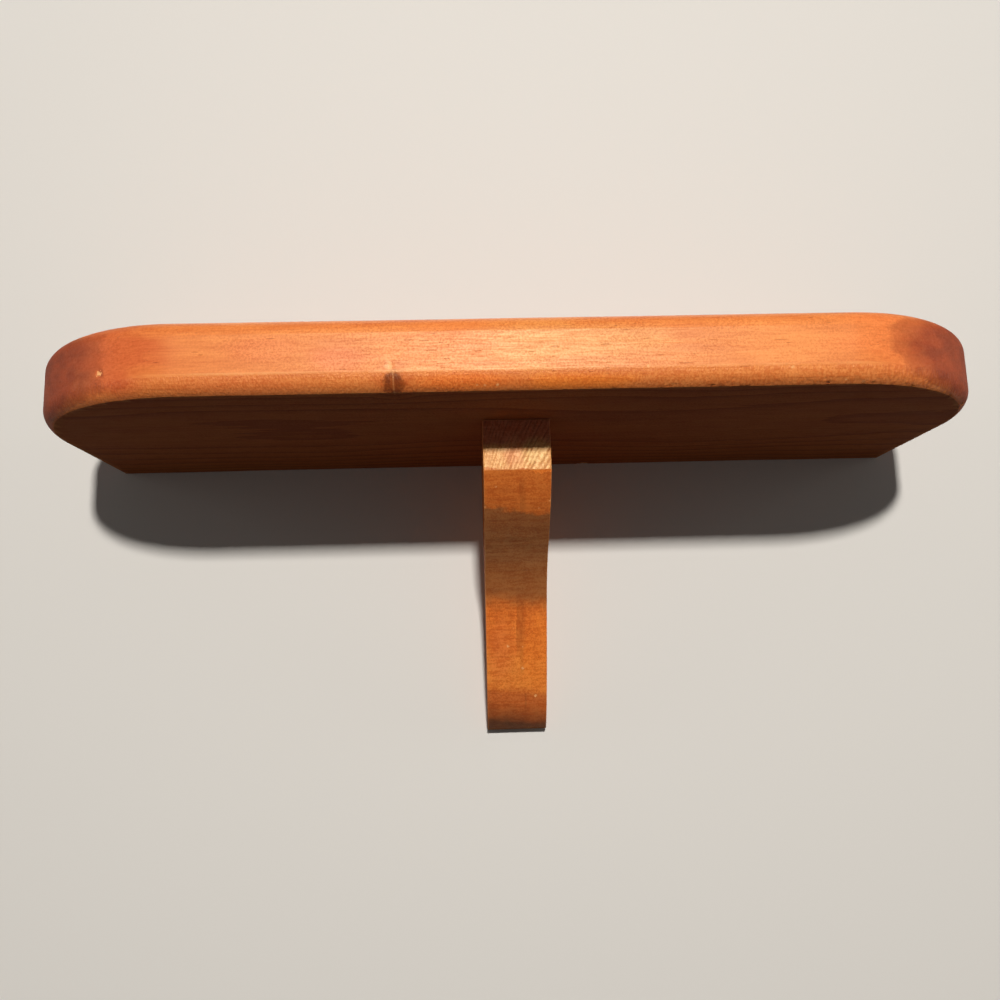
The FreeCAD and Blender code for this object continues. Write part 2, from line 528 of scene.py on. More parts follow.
@dataclass(frozen=True)
class StainedPine:
    """Pine with a wiped orange-brown stain and a satin coat, cut from a log round a pith.

    Lengths are in millimetres, but for the relief's depth. The pith is the point that the rings centre on, in
    the plane across the grain, and its coordinate along the grain isn't used. The end line is the edge of the
    dark end grain, measured on the normal, and it can bow on the right. Tones are how far a texture lightens
    and darkens the colour, and reliefs are how far it raises the surface.
    """

    name: str
    grain: Grain
    pith: Place
    seed: float = 0.0
    ring_pitch: float = 2.6
    ring_depth: float = 0.3
    wide_ring_depth: float = 0.75
    ring_warp: float = 3.5
    ring_wander: float = 1.1
    knot_swell: float = 3.0
    pale: Colour = (0.88, 0.27, 0.065)
    deep: Colour = (0.7, 0.165, 0.034)
    dark: Colour = (0.19, 0.04, 0.01)
    end: Colour = (0.38, 0.055, 0.011)
    bare: Colour = (0.95, 0.42, 0.14)
    nicked: Colour = (1.0, 0.48, 0.18)
    sheen: Colour = (1.0, 0.86, 0.6)
    light_tint: Colour = (1.07, 1.16, 1.25)
    dark_tint: Colour = (0.86, 0.72, 0.62)
    pore_tint: Colour = (0.5, 0.3, 0.2)
    kerf_tint: Colour = (0.55, 0.36, 0.26)
    wide_ring_tint: Colour = (0.62, 0.5, 0.42)
    end_light_tint: Colour = (1.15, 1.2, 1.2)
    end_dark_tint: Colour = (0.82, 0.76, 0.72)
    left_end_tint: Colour = (0.87, 0.82, 0.8)
    left_end: tuple[float, float] = (-110.0, -60.0)
    end_lean: float = 0.0
    end_from: float = 0.55
    end_to: float = 0.95
    end_line: float = 0.8
    end_line_width: float = 0.07
    end_line_share: float = 0.35
    end_bow: float = 0.0
    end_bow_level: float = 45.0
    end_bow_reach: float = 1.5
    end_rings: float = 0.12
    middle_tone: float = 0.42
    stipple_tone: float = 0.7
    fibre_tone: float = 0.28
    fuzz_tone: float = 0.75
    pore_tone: float = 0.62
    kerf_tone: float = 0.8
    cross_lines: float = 0.0
    line_tone: float = 0.65
    arc_tone: float = 0.55
    calm_ends: tuple[float, float] = (58.0, 92.0)
    calm_share: float = 0.42
    front: float = -89.0
    fuzzy_below: float | None = None
    coarse_from: tuple[float, float] = (-10.0, 60.0)
    # How far painted shade darkens faces that look down; 1 leaves them unshaded.
    painted_shade_below: float = 1.0
    roughness: float = 0.4
    fibre_roughness: tuple[float, float] = (-0.03, 0.05)
    below_roughness: float = 0.45
    end_roughness: float = 0.12
    kerf_roughness: float = 0.15
    stipple_roughness: float = 0.07
    relief_depth: float = 0.08 * MM
    fibre_relief: float = 0.4
    ring_relief: float = 0.18
    stipple_relief: float = 0.32
    pore_relief: float = 0.5
    fuzz_relief: float = 0.7
    knots: tuple[Knot, ...] = ()
    patches: tuple[Patch, ...] = ()
    flecks: tuple[Fleck, ...] = ()
    nicks: tuple[Nick, ...] = ()
    bands: tuple[Band, ...] = ()
    streaks: tuple[Streak, ...] = ()

    def make(self) -> bpy.types.Material:
        """Build the material.

        Returns:
            The material.
        """
        g = Graph(self.name)
        g.surface.inputs["Specular Tint"].default_value = (*self.sheen, 1.0)
        knots = [g.vector_math("LENGTH", g.centred(knot.middle, knot.radii)) for knot in self.knots]
        figure = self.read_figure(g, knots)
        colour = self.stain(g, figure)
        for knot, share in zip(self.knots, knots):
            colour = self.knot_colour(g, colour, knot, share)
        dashes = self.dashes(g, figure)
        fuzz = self.fuzz(g)
        colour = self.textured(g, figure, colour, dashes, fuzz)
        kerf = g.attribute(Mark.KERF)
        colour = g.mix(g.product(kerf, self.kerf_tone), colour, g.tinted(colour, self.kerf_tint))
        worn = g.product(g.attribute(Mark.WORN), g.step(figure.stipple, 0.35, 0.6, 0.3, 0.9))
        colour = g.mix(worn, colour, self.bare)
        colour = self.marked(g, colour)
        roughness = self.dullness(g, figure, kerf)
        return g.finish(colour, roughness, g.bump(self.height(g, figure, dashes, fuzz), self.relief_depth))

    def dullness(self, g: Graph, figure: Figure, kerf: Value) -> Value:
        """The satin coat's roughness: duller below, on end grain and in saw marks.

        Args:
            g: The material's graph.
            figure: What the wood shows.
            kerf: Where saw marks are.

        Returns:
            The roughness.
        """
        below = g.step(g.product(g.part(g.normal, 2), -1.0), 0.8, 0.95, 0.0, self.below_roughness)
        low, high = self.fibre_roughness
        rough = g.step(figure.fibre, 0.3, 0.7, self.roughness + low, self.roughness + high)
        rough = g.total(rough, below)
        ends, cuts = g.product(figure.end, self.end_roughness), g.product(kerf, self.kerf_roughness)
        rough = g.total(rough, ends, cuts)
        return g.math("ADD", rough, g.step(figure.stipple, 0.4, 0.7, 0.0, self.stipple_roughness), clamp=True)

    def height(self, g: Graph, figure: Figure, dashes: Value, fuzz: Value) -> Value:
        """The height of the wood's finest relief.

        Args:
            g: The material's graph.
            figure: What the wood shows.
            dashes: Where the pore lines are.
            fuzz: Where raised fibres are.

        Returns:
            The height, from about 0 to 1.
        """
        height = g.product(figure.fibre, self.fibre_relief)
        rings = g.product(figure.late, self.ring_relief)
        height = g.total(height, rings, g.product(figure.stipple, self.stipple_relief))
        height = g.math("SUBTRACT", height, g.product(dashes, self.pore_relief))
        return g.total(height, g.product(fuzz, self.fuzz_relief))

    def stretched(self, g: Graph, along: float, across: float) -> Value:
        """Coordinates whose unit is one length along the fibres and another across them.

        Args:
            g: The material's graph.
            along: The length along the fibres.
            across: The length across them.

        Returns:
            The coordinates.
        """
        scale = [1 / across] * 3
        scale[self.grain.value] = 1 / along
        return g.scaled(g.point, scale, (self.seed, self.seed / 2, -self.seed))

    def grained(self, g: Graph, grained: Grained) -> Value:
        """A noise that follows this wood's fibres."""
        return g.noise(self.stretched(g, grained.along, grained.across), grained.detail, grained.rough)

    def read_figure(self, g: Graph, knots: list[Value]) -> Figure:
        """Work out what the wood shows at each point.

        Args:
            g: The material's graph.
            knots: For each knot, the distance from its middle as a share of its radii.

        Returns:
            The figure.
        """
        return Figure(
            late=self.rings(g, knots),
            end=self.facing_end(g),
            front=g.step(g.product(g.part(g.normal, 1), -1.0), 0.1, 0.3),
            fibre=self.grained(g, FIBRES),
            streaks=self.grained(g, STREAKS),
            stipple=g.cloud(STIPPLE),
            mottle=self.grained(g, MOTTLE),
        )

    def facing_end(self, g: Graph) -> Value:
        """How far the surface cuts across the fibres, from 0 on long grain to 1 on end grain.

        Args:
            g: The material's graph.

        Returns:
            The share of end grain.
        """
        across = g.math("ADD", g.part(g.normal, self.grain.value), self.end_lean)
        half = self.end_line_width / 2
        wander = g.swing(g.cloud(END_EDGE), half)
        off = g.math("ABSOLUTE", g.total(g.part(g.point, 2), -self.end_bow_level))
        bow = g.step(g.part(g.point, 0), 0.0, 20.0, 0.0, self.end_bow)
        bow = g.product(bow, g.math("SUBTRACT", self.end_bow_reach, off))
        across = g.total(g.math("ABSOLUTE", across), wander, bow)
        gradual = g.step(across, self.end_from, self.end_to, 0.0, 1.0 - self.end_line_share)
        line = g.step(across, self.end_line - half, self.end_line + half, 0.0, self.end_line_share)
        return g.total(gradual, line)

    def rings(self, g: Graph, knots: list[Value]) -> Value:
        """Growth rings.

        Args:
            g: The material's graph.
            knots: For each knot, the distance from its middle as a share of its radii.

        Returns:
            From 0 in early wood to 1 in the dark line of late wood.
        """
        across = [1.0, 1.0, 1.0]
        across[self.grain.value] = 0.0
        centred = g.scaled(g.point, across, [-place * share for place, share in zip(self.pith, across)])
        spread = self.stretched(g, RING_WARP.along, RING_WARP.across)
        warp = g.noise(spread, RING_WARP.detail, RING_WARP.rough, "Color")
        warp = g.scaled(warp, (2 * self.ring_warp,) * 3, (-self.ring_warp,) * 3)
        radius = g.vector_math("LENGTH", g.vector_math("ADD", centred, warp))
        wander = g.product(self.grained(g, RING_WANDER), self.ring_wander)
        radius = g.total(radius, wander)
        for share in knots:
            radius = g.total(radius, g.step(share, 0.7, 2.6, self.knot_swell, 0.0))
        turn = g.math("FRACT", g.math("DIVIDE", radius, self.ring_pitch))
        return g.ramp(turn, RING_PROFILE)

    def stain(self, g: Graph, figure: Figure) -> Value:
        """The stain's colour, before its fine texture, with painted shade on faces that look down, and with
        the painted shade and highlight that some bands and patches hold.

        Args:
            g: The material's graph.
            figure: What the wood shows.

        Returns:
            The colour.
        """
        show = g.step(figure.front, 0.0, 1.0, self.wide_ring_depth, self.ring_depth)
        depth = g.product(figure.late, show)
        depth = g.total(depth, g.step(figure.streaks, 0.3, 0.7, -0.1, 0.3))
        depth = g.math("ADD", depth, g.step(figure.mottle, 0.35, 0.68, -0.05, 0.3), clamp=True)
        colour = g.mix(depth, self.pale, self.deep)
        wide = g.product(figure.late, g.math("SUBTRACT", 1.0, figure.front), 0.5)
        colour = g.mix(wide, colour, g.tinted(self.deep, self.wide_ring_tint))
        for band in self.bands:
            colour = g.mix(self.band_share(g, figure, band), colour, band.colour)
        for patch in self.patches:
            out = g.vector_math("LENGTH", g.centred(patch.middle, patch.radii))
            out = g.total(out, g.swing(figure.mottle, 0.2))
            share = g.step(out, patch.solid, 1.0, patch.strength, 0.0)
            colour = g.mix(share, colour, patch.colour)
        colour = g.mix(figure.end, colour, self.end_colour(g, figure))
        for streak in self.streaks:
            share = g.product(self.streak_share(g, streak), figure.front)
            colour = g.mix(share, colour, g.mix(0.35, self.dark, colour))
        # Painted shade: faces that look down, like the board's underside, are darkened for the shade they lie
        # in.
        below = g.product(g.part(g.normal, 2), -1.0)
        shaded_below = g.tinted(colour, (self.painted_shade_below, self.painted_shade_below**1.2, self.painted_shade_below**1.4))
        return g.mix(g.step(below, 0.88, 0.97), colour, shaded_below)

    def end_colour(self, g: Graph, figure: Figure) -> Value:
        """The stain's smudged colour on end grain, darker at the left end.

        Args:
            g: The material's graph.
            figure: What the wood shows.

        Returns:
            The colour.
        """
        smudge = g.cloud(END_SMUDGES)
        light, dark = g.tinted(self.end, self.end_light_tint), g.tinted(self.end, self.end_dark_tint)
        cut = g.mix(g.step(smudge, 0.33, 0.67), light, dark)
        cut = g.mix(g.product(figure.late, self.end_rings), cut, self.dark)
        left = g.step(g.part(g.point, 0), *self.left_end, 1.0, 0.0)
        return g.mix(left, cut, g.tinted(cut, self.left_end_tint))

    def band_share(self, g: Graph, figure: Figure, band: Band) -> Value:
        """How much of a band's colour a point takes, with wandering edges that lie lower on the right.

        Args:
            g: The material's graph.
            figure: What the wood shows.
            band: The band.

        Returns:
            The share.
        """
        wander = g.swing(g.cloud(BAND_EDGE), band.wander, 0.25)
        level = g.total(g.part(g.point, 2), g.product(g.part(g.point, 0), band.lean), wander)
        up = g.step(level, band.bottom - band.bottom_fade / 2, band.bottom + band.bottom_fade / 2)
        down = g.step(level, band.top - band.top_fade / 2, band.top + band.top_fade / 2, 1.0, 0.0)
        return g.product(up, down, figure.front, band.strength)

    def streak_share(self, g: Graph, streak: Streak) -> Value:
        """How much a streak darkens a point.

        Args:
            g: The material's graph.
            streak: The streak.

        Returns:
            The share.
        """
        wander = g.swing(g.cloud(STREAK_EDGE), 0.2, 0.25)
        across = g.total(g.part(g.point, 0), wander, -streak.left)
        fading = g.step(across, 0.4 * streak.width, streak.width, 1.0, 0.0)
        side = g.product(g.step(across, -0.1, 0.12), fading)
        height = g.part(g.point, 2)
        reach = (streak.top - streak.bottom) / 4
        rise = g.step(height, streak.bottom, streak.bottom + reach)
        fall = g.step(height, streak.top - reach, streak.top, 1.0, 0.0)
        return g.product(side, rise, fall, streak.strength)

    def dashes(self, g: Graph, figure: Figure) -> Value:
        """Short dark pore lines: some scattered along the grain, and the ones that have places.

        Args:
            g: The material's graph.
            figure: What the wood shows.

        Returns:
            How much a pore line darkens each point.
        """
        share = g.step(self.grained(g, PORES), 0.71, 0.76)
        sparse = g.step(self.grained(g, PORE_GROUPS), 0.5, 0.62)
        share = g.product(share, sparse, g.step(figure.end, 0.0, 0.4, 1.0, 0.0))
        for fleck in self.flecks:
            place = (fleck.along, self.front, fleck.height)
            out = g.centred(place, (fleck.half_length, fleck.half_depth, fleck.half_height))
            out = g.total(g.vector_math("LENGTH", out), g.swing(figure.fibre, 0.25))
            share = g.math("MAXIMUM", share, g.step(out, 0.45, 1.05, 0.85, 0.0))
        return share

    def fuzz(self, g: Graph) -> Value:
        """Raised fibres on the lower rounded edge, as upright strokes that grow coarser to the right.

        Args:
            g: The material's graph.

        Returns:
            How far the fibres stand up, or below 0 lie low.
        """
        if self.fuzzy_below is None:
            return 0.0
        fine = g.cloud(FINE_FUZZ)
        coarse = g.cloud(COARSE_FUZZ)
        right = g.step(g.part(g.point, 0), *self.coarse_from)
        strokes = g.product(g.step(fine, 0.32, 0.68, -0.35, 0.55), g.math("SUBTRACT", 1.0, right))
        strokes = g.total(strokes, g.product(g.step(coarse, 0.34, 0.66, -0.4, 0.75), right))
        height = g.total(g.part(g.point, 2), g.swing(g.cloud(FUZZ_EDGE), 0.12))
        level = g.step(height, self.fuzzy_below - 0.3, self.fuzzy_below, 1.0, 0.0)
        side = g.step(g.product(g.part(g.normal, 2), -1.0), 0.93, 0.99, 1.0, 0.0)
        return g.product(strokes, level, side)

    def textured(self, g: Graph, figure: Figure, colour: Value, dashes: Value, fuzz: Value) -> Value:
        """Work the fine texture into a colour.

        Args:
            g: The material's graph.
            figure: What the wood shows.
            colour: The stain's colour.
            dashes: Where the pore lines are.
            fuzz: Where raised fibres are.

        Returns:
            The textured colour.
        """
        patchy = g.step(self.grained(g, STIPPLE_GROUPS), 0.35, 0.65, 0.6, 1.3)
        calm = g.step(g.math("ABSOLUTE", g.part(g.point, 0)), *self.calm_ends, 1.0, self.calm_share)
        stipple = g.product(g.swing(figure.stipple, self.stipple_tone), patchy, calm)
        fibre = g.product(g.swing(figure.fibre, self.fibre_tone), g.step(figure.end, 0.0, 1.0, 1.0, 0.3))
        tone = g.total(self.middle_tone, stipple, fibre, g.product(fuzz, self.fuzz_tone))
        if self.cross_lines:
            lines, arcs = g.cloud(CROSS_LINES), g.cloud(CROSS_ARCS)
            lines = g.total(g.swing(lines, self.line_tone, 0.32), g.swing(arcs, self.arc_tone))
            tone = g.total(tone, g.product(lines, figure.front, self.cross_lines))
        lighter = g.tinted(colour, self.light_tint)
        darker = g.tinted(colour, self.dark_tint)
        colour = g.mix(g.math("MAXIMUM", g.math("MINIMUM", tone, 1.0), 0.0), lighter, darker)
        return g.mix(g.product(dashes, self.pore_tone), colour, g.tinted(colour, self.pore_tint))

    def marked(self, g: Graph, colour: Value) -> Value:
        """Show the nicks: bare wood in the pale ones, a dark colour in the dark ones.

        Args:
            g: The material's graph.
            colour: The colour round them.

        Returns:
            The colour with the nicks in it.
        """
        for nick in self.nicks:
            if nick.shows:
                out = g.vector_math("LENGTH", g.centred(nick.place, (nick.radius,) * 3))
                out = g.total(out, g.swing(g.cloud(NICK_EDGE), 0.3))
                share = g.step(out, 0.55, 0.85, abs(nick.shows), 0.0)
                colour = g.mix(share, colour, self.nicked if nick.shows > 0 else self.dark)
        return colour

    def knot_colour(self, g: Graph, colour: Value, knot: Knot, share: Value) -> Value:
        """Paint one knot: a soft brown blot with darker lobes, crossed by a pale upright line.

        Args:
            g: The material's graph.
            colour: The colour round it.
            knot: The knot.
            share: The distance from its middle as a share of its radii.

        Returns:
            The colour with the knot in it.
        """
        out = g.total(share, g.swing(g.cloud(KNOT_EDGE), 0.14))
        colour = g.mix(g.step(out, 0.9, 2.3, 0.4, 0.0), colour, g.tinted(colour, knot.halo_tint))
        blot = g.mix(g.step(g.cloud(KNOT_LOBES), 0.35, 0.65), knot.heart, knot.lobe)
        lines = g.step(g.math("PINGPONG", out, knot.ring_spacing), 0.05, 0.11, 0.0, 0.25)
        blot = g.mix(lines, blot, knot.ring)
        colour = g.mix(g.step(out, 0.66, 1.12, 0.93, 0.0), colour, blot)
        off = g.math("ABSOLUTE", g.total(g.part(g.point, 0), -knot.middle[0]))
        line = g.product(g.step(off, 0.05, knot.pale_line_width, 1.0, 0.0), g.step(out, 0.7, 1.0, 0.55, 0.0))
        return g.mix(line, colour, knot.split)


@dataclass(frozen=True)
class PlatedSteel:
    """Zinc-plated steel with fine scratches and dull patches."""

    name: str
    colour: Colour = (0.56, 0.56, 0.54)
    tarnish: Colour = (0.3, 0.28, 0.24)
    roughness: float = 0.32
    scratch_roughness: tuple[float, float] = (-0.06, 0.1)
    dull_roughness: float = 0.3
    scratch_relief: float = 0.6
    grit_relief: float = 0.4
    relief_depth: float = 0.02 * MM

    def make(self) -> bpy.types.Material:
        """Build the material.

        Returns:
            The material.
        """
        g = Graph(self.name)
        g.surface.inputs["Metallic"].default_value = 1.0
        scratches, clouds, grit = g.cloud(STEEL_SCRATCHES), g.cloud(STEEL_CLOUDS), g.cloud(STEEL_GRIT)
        dull = g.step(clouds, 0.42, 0.7, 0.05, 0.55)
        colour = g.mix(dull, self.colour, self.tarnish)
        low, high = self.scratch_roughness
        rough = g.step(scratches, 0.3, 0.7, self.roughness + low, self.roughness + high)
        rough = g.math("ADD", rough, g.product(dull, self.dull_roughness), clamp=True)
        height = g.total(g.product(scratches, self.scratch_relief), g.product(grit, self.grit_relief))
        return g.finish(colour, rough, g.bump(height, self.relief_depth))


def block(low: Vector, high: Vector) -> bmesh.types.BMesh:
    """A box between two corners.

    Args:
        low: Its lowest corner.
        high: Its highest corner.

    Returns:
        The box.
    """
    bm = bmesh.new()
    bmesh.ops.create_cube(bm, size=1.0)
    bmesh.ops.scale(bm, vec=high - low, verts=bm.verts)
    bmesh.ops.translate(bm, vec=(low + high) / 2, verts=bm.verts)
    return bm


def round_edges(
    bm: bmesh.types.BMesh, edges: Iterable[bmesh.types.BMEdge], radius: float, segments: int
) -> None:
    """Round some edges over.

    Args:
        bm: The mesh.
        edges: Its edges that are rounded.
        radius: How far the rounding reaches.
        segments: How many faces it has across.
    """
    bmesh.ops.bevel(
        bm,
        geom=list(edges),
        offset=radius,
        offset_type="OFFSET",
        segments=segments,
        profile=0.5,
        affect="EDGES",
        material=-1,
    )


def runs_along(edge: bmesh.types.BMEdge, axis: int) -> bool:
    """Tell whether an edge runs along one axis."""
    span = edge.verts[1].co - edge.verts[0].co
    return abs(span[axis]) > 0.999 * span.length


def both_at(edge: bmesh.types.BMEdge, axis: int, place: float) -> bool:
    """Tell whether both ends of an edge lie in a plane."""
    return all(abs(vert.co[axis] - place) < 0.01 * MM for vert in edge.verts)


def divide_long(bm: bmesh.types.BMesh, edges: Iterable[bmesh.types.BMEdge], length: float) -> None:
    """Divide alike edges into pieces of about one length.

    Args:
        bm: The mesh.
        edges: The edges, alike where they belong together.
        length: The length that the pieces come near to.
    """
    groups: dict[int, list[bmesh.types.BMEdge]] = {}
    for edge in edges:
        groups.setdefault(max(1, round(edge.calc_length() / length)), []).append(edge)
    for pieces, members in groups.items():
        if pieces > 1:
            bmesh.ops.subdivide_edges(bm, edges=members, cuts=pieces - 1, use_grid_fill=True)


def slice_faces(
    bm: bmesh.types.BMesh, wanted: Callable[[bmesh.types.BMFace], bool], axis: int, places: Iterable[float]
) -> None:
    """Cut the wanted faces along planes across one axis.

    Args:
        bm: The mesh.
        wanted: Tells of a face whether it is cut.
        axis: The axis that the planes stand across.
        places: Where the planes are on that axis.
    """
    normal = Vector((0, 0, 0))
    normal[axis] = 1.0
    for place in places:
        faces = [face for face in bm.faces if wanted(face)]
        edges = {edge for face in faces for edge in face.edges}
        verts = {vert for face in faces for vert in face.verts}
        bmesh.ops.bisect_plane(
            bm, geom=[*verts, *edges, *faces], plane_co=normal * place, plane_no=normal, dist=1e-7
        )


def steps_between(low: float, high: float, spacing: float) -> list[float]:
    """Evenly spaced places between two ends, without the ends."""
    count = max(1, round((high - low) / spacing))
    return [low + (high - low) * index / count for index in range(1, count)]


def turned(
    outline: Sequence[tuple[float, float]], middle: Vector, axis: Vector, segments: int = 40
) -> bmesh.types.BMesh:
    """A solid of revolution.

    Args:
        outline: Its (radius, distance along the axis) points, which start and end on the axis.
        middle: The point that distances along the axis count from.
        axis: The axis.
        segments: How many faces there are round it.

    Returns:
        The solid.
    """
    bm = bmesh.new()
    side = axis.orthogonal().normalized()
    verts = [bm.verts.new(middle + side * radius + axis * along) for radius, along in outline]
    edges = [bm.edges.new(pair) for pair in zip(verts, verts[1:])]
    bmesh.ops.spin(
        bm, geom=verts + edges, cent=middle, axis=axis, angle=FULL_TURN, steps=segments, use_merge=True
    )
    bmesh.ops.remove_doubles(bm, verts=bm.verts, dist=1e-6)
    bmesh.ops.recalc_face_normals(bm, faces=bm.faces)
    return bm


def stadium(low: Vector, high: Vector) -> bmesh.types.BMesh:
    """An upright block with fully round ends, whose thickness lies along Y.

    Args:
        low: Its lowest corner.
        high: Its highest corner.

    Returns:
        The block.
    """
    bm = block(low, high)
    edges = [edge for edge in bm.edges if runs_along(edge, 1)]
    just_under_half = 0.49995 * (high.x - low.x)
    round_edges(bm, edges, just_under_half, segments=18)
    return bm


def as_object(bm: bmesh.types.BMesh, name: str) -> bpy.types.Object:
    """Put a mesh into the scene as an object at the origin.

    Args:
        bm: The mesh, which is used up.
        name: The object's name.

    Returns:
        The object.
    """
    mesh = bpy.data.meshes.new(name)
    bm.to_mesh(mesh)
    bm.free()
    piece = bpy.data.objects.new(name, mesh)
    bpy.context.scene.collection.objects.link(piece)
    return piece


def carve(piece: bpy.types.Object, cutters: Iterable[bmesh.types.BMesh]) -> None:
    """Cut some solids out of a piece.

    Args:
        piece: The piece.
        cutters: The solids, which are used up.
    """
    tools = [as_object(cutter, "cutter") for cutter in cutters]
    for tool in tools:
        modifier = piece.modifiers.new("cut", "BOOLEAN")
        modifier.operation = "DIFFERENCE"
        modifier.solver = "EXACT"
        modifier.object = tool
    bpy.context.view_layer.update()
    graph = bpy.context.evaluated_depsgraph_get()
    cut = bpy.data.meshes.new_from_object(piece.evaluated_get(graph))
    piece.modifiers.clear()
    old, piece.data = piece.data, cut
    name = old.name
    bpy.data.meshes.remove(old)
    cut.name = name
    close_gaps(cut)
    for tool in tools:
        mesh = tool.data
        bpy.data.objects.remove(tool)
        bpy.data.meshes.remove(mesh)


def close_gaps(mesh: bpy.types.Mesh) -> None:
    """Fill the tiny gaps that cutting can leave between a mesh's faces.

    Args:
        mesh: The mesh.
    """
    bm = bmesh.new()
    bm.from_mesh(mesh)
    gaps = [edge for edge in bm.edges if edge.is_boundary]
    bmesh.ops.holes_fill(bm, edges=gaps, sides=4)
    bm.to_mesh(mesh)
    bm.free()


@dataclass(frozen=True)
class Ripple:
    """A soft unevenness about zero, whose grain has its own length in millimetres along X, Y and Z."""

    along: float
    deep: float
    high: float
    seed: float

    def at(self, point: Vector) -> float:
        """The height at a point, from -1 to 1."""
        x, y, z = point.x / (self.along * MM), point.y / (self.deep * MM), point.z / (self.high * MM)
        return noise.noise(Vector((x + self.seed, y, z)))


WORN_BREAKS = Ripple(4.0, 4.0, 6.0, 13.0)
BOARD_SANDING = Ripple(34.0, 12.0, 12.0, 3.0)
LOOSE_FIBRES = Ripple(0.9, 0.9, 1.8, 9.0)
RIDGE_BREAKS = Ripple(11.0, 11.0, 10.0, 17.0)
SIDE_SANDING = Ripple(20.0, 30.0, 30.0, 5.0)
FINE_CUTS = Ripple(30.0, 100.0, 0.55, 21.0)
COARSE_CUTS = Ripple(12.0, 100.0, 1.1, 4.0)

Relief = Callable[[Vector, Vector], tuple[float, dict[Mark, float]]]


def work_surface(piece: bpy.types.Object, relief: Relief) -> None:
    """Press a relief into a piece and note on its points what the finish needs.

    Args:
        piece: The piece, whose mesh is changed.
        relief: Gives, from a point and its normal, a depth in metres and the measures of its marks.
    """
    bm = bmesh.new()
    bm.from_mesh(piece.data)
    bm.normal_update()
    layers = {mark: bm.verts.layers.float.new(mark.value) for mark in Mark}
    arris = {vert: arris_share(vert) for vert in bm.verts}
    moved = []
    for vert in bm.verts:
        depth, marks = relief(vert.co, vert.normal)
        moved.append(vert.co - vert.normal * max(0.0, depth))
        for mark, share in marks.items():
            vert[layers[mark]] = share
        broken = smooth_step(-0.2, 0.3, WORN_BREAKS.at(vert.co), least=0.45)
        vert[layers[Mark.WORN]] = max(vert[layers[Mark.WORN]], broken * arris[vert])
    for vert, place in zip(bm.verts, moved):
        vert.co = place
    bm.normal_update()
    bm.to_mesh(piece.data)
    bm.free()


def arris_share(vert: bmesh.types.BMVert) -> float:
    """How sharp the sharpest outward edge at a point is, from 0 to about a half."""
    angles = [edge.calc_face_angle_signed(0.0) for edge in vert.link_edges if len(edge.link_faces) == 2]
    return 0.5 * smooth_step(math.radians(18), math.radians(28), max(angles, default=0.0))


def dress(
    piece: bpy.types.Object, material: bpy.types.Material, node: str, sharp_from: float = 38.0
) -> None:
    """Shade a piece smoothly, give it its finish, and let it stand for its node.

    Args:
        piece: The piece.
        material: Its finish.
        node: The node that the piece stands for.
        sharp_from: The angle in degrees from which an edge stays sharp.
    """
    mesh = piece.data
    mesh.materials.clear()
    mesh.materials.append(material)
    mesh.polygons.foreach_set("use_smooth", [True] * len(mesh.polygons))
    mesh.set_sharp_from_angle(angle=math.radians(sharp_from))
    even = piece.modifiers.new("even_shading", "WEIGHTED_NORMAL")
    even.keep_sharp = True
    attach(piece, "root")
    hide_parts(node)
    log.info("%s: %d faces", piece.name, len(mesh.polygons))


def nick_depth(point: Vector, nicks: Iterable[Nick]) -> float:
    """How deep the nicks are at a point, in metres.

    Args:
        point: The point.
        nicks: The nicks.

    Returns:
        The depth of the deepest nick there.
    """
    depth = 0.0
    for nick in nicks:
        distance = (point - Vector(nick.place) * MM).length / (nick.radius * MM)
        depth = max(depth, nick.depth * MM * (1.0 - smooth_step(0.3, 1.0, distance)))
    return depth


@dataclass
class Fixings:
    """Places and sizes of the screws, plugs and keyhole that the wooden pieces make room for."""

    plug_radius: float = 4.75 * MM
    plug_depth: float = 6.0 * MM
    plug_play: float = 0.05 * MM
    head_radius: float = 4.15 * MM
    shank_radius: float = 2.15 * MM
    head_cone: float = 2.3 * MM
    screw_length: float = 32.05 * MM
    rear_setback: float = 20.0 * MM
    front_setback: float = 44.0 * MM
    plate_play: float = 0.1 * MM
    pocket_radius: float = 6.0 * MM
    pocket_depth: float = 8.0 * MM
    seat_rise: float = 10.0 * MM
    entry_radius: float = 4.75 * MM
    slot_width: float = 5.0 * MM
    small_head_radius: float = 2.8 * MM
    small_shank_radius: float = 1.45 * MM
    small_head_cone: float = 1.55 * MM
    small_screw_length: float = 12.05 * MM
    overrun: float = 1.0 * MM

    def long_hole(self, setback: float, top: float) -> bmesh.types.BMesh:
        """The room of one plug and its long screw.

        Args:
            setback: How far it lies from the wall.
            top: The height of the board's top, which it goes down from.

        Returns:
            The solid to cut out.
        """
        floor = self.plug_depth
        outline = [
            (0.0, -self.overrun),
            (self.plug_radius, -self.overrun),
            (self.plug_radius, floor),
            (self.head_radius, floor),
            (self.shank_radius, floor + self.head_cone),
            (self.shank_radius, floor + self.screw_length),
            (0.0, floor + self.screw_length),
        ]
        return turned(outline, Vector((0, -setback, top)), Vector((0, 0, -1)))

    def short_hole(self, height: float) -> bmesh.types.BMesh:
        """The room of one short screw, from the wall's plane into the bracket.

        Args:
            height: How high it lies.

        Returns:
            The solid to cut out.
        """
        outline = [
            (0.0, -self.overrun),
            (self.small_head_radius, -self.overrun),
            (self.small_head_radius, 0.0),
            (self.small_shank_radius, self.small_head_cone),
            (self.small_shank_radius, self.small_screw_length),
            (0.0, self.small_screw_length),
        ]
        return turned(outline, Vector((0, 0, height)), Vector((0, -1, 0)))

    def short_screw_heights(self) -> list[float]:
        """The heights of the two short screws."""
        low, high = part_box("plate_screws")
        return [low.z + self.small_head_radius, high.z - self.small_head_radius]


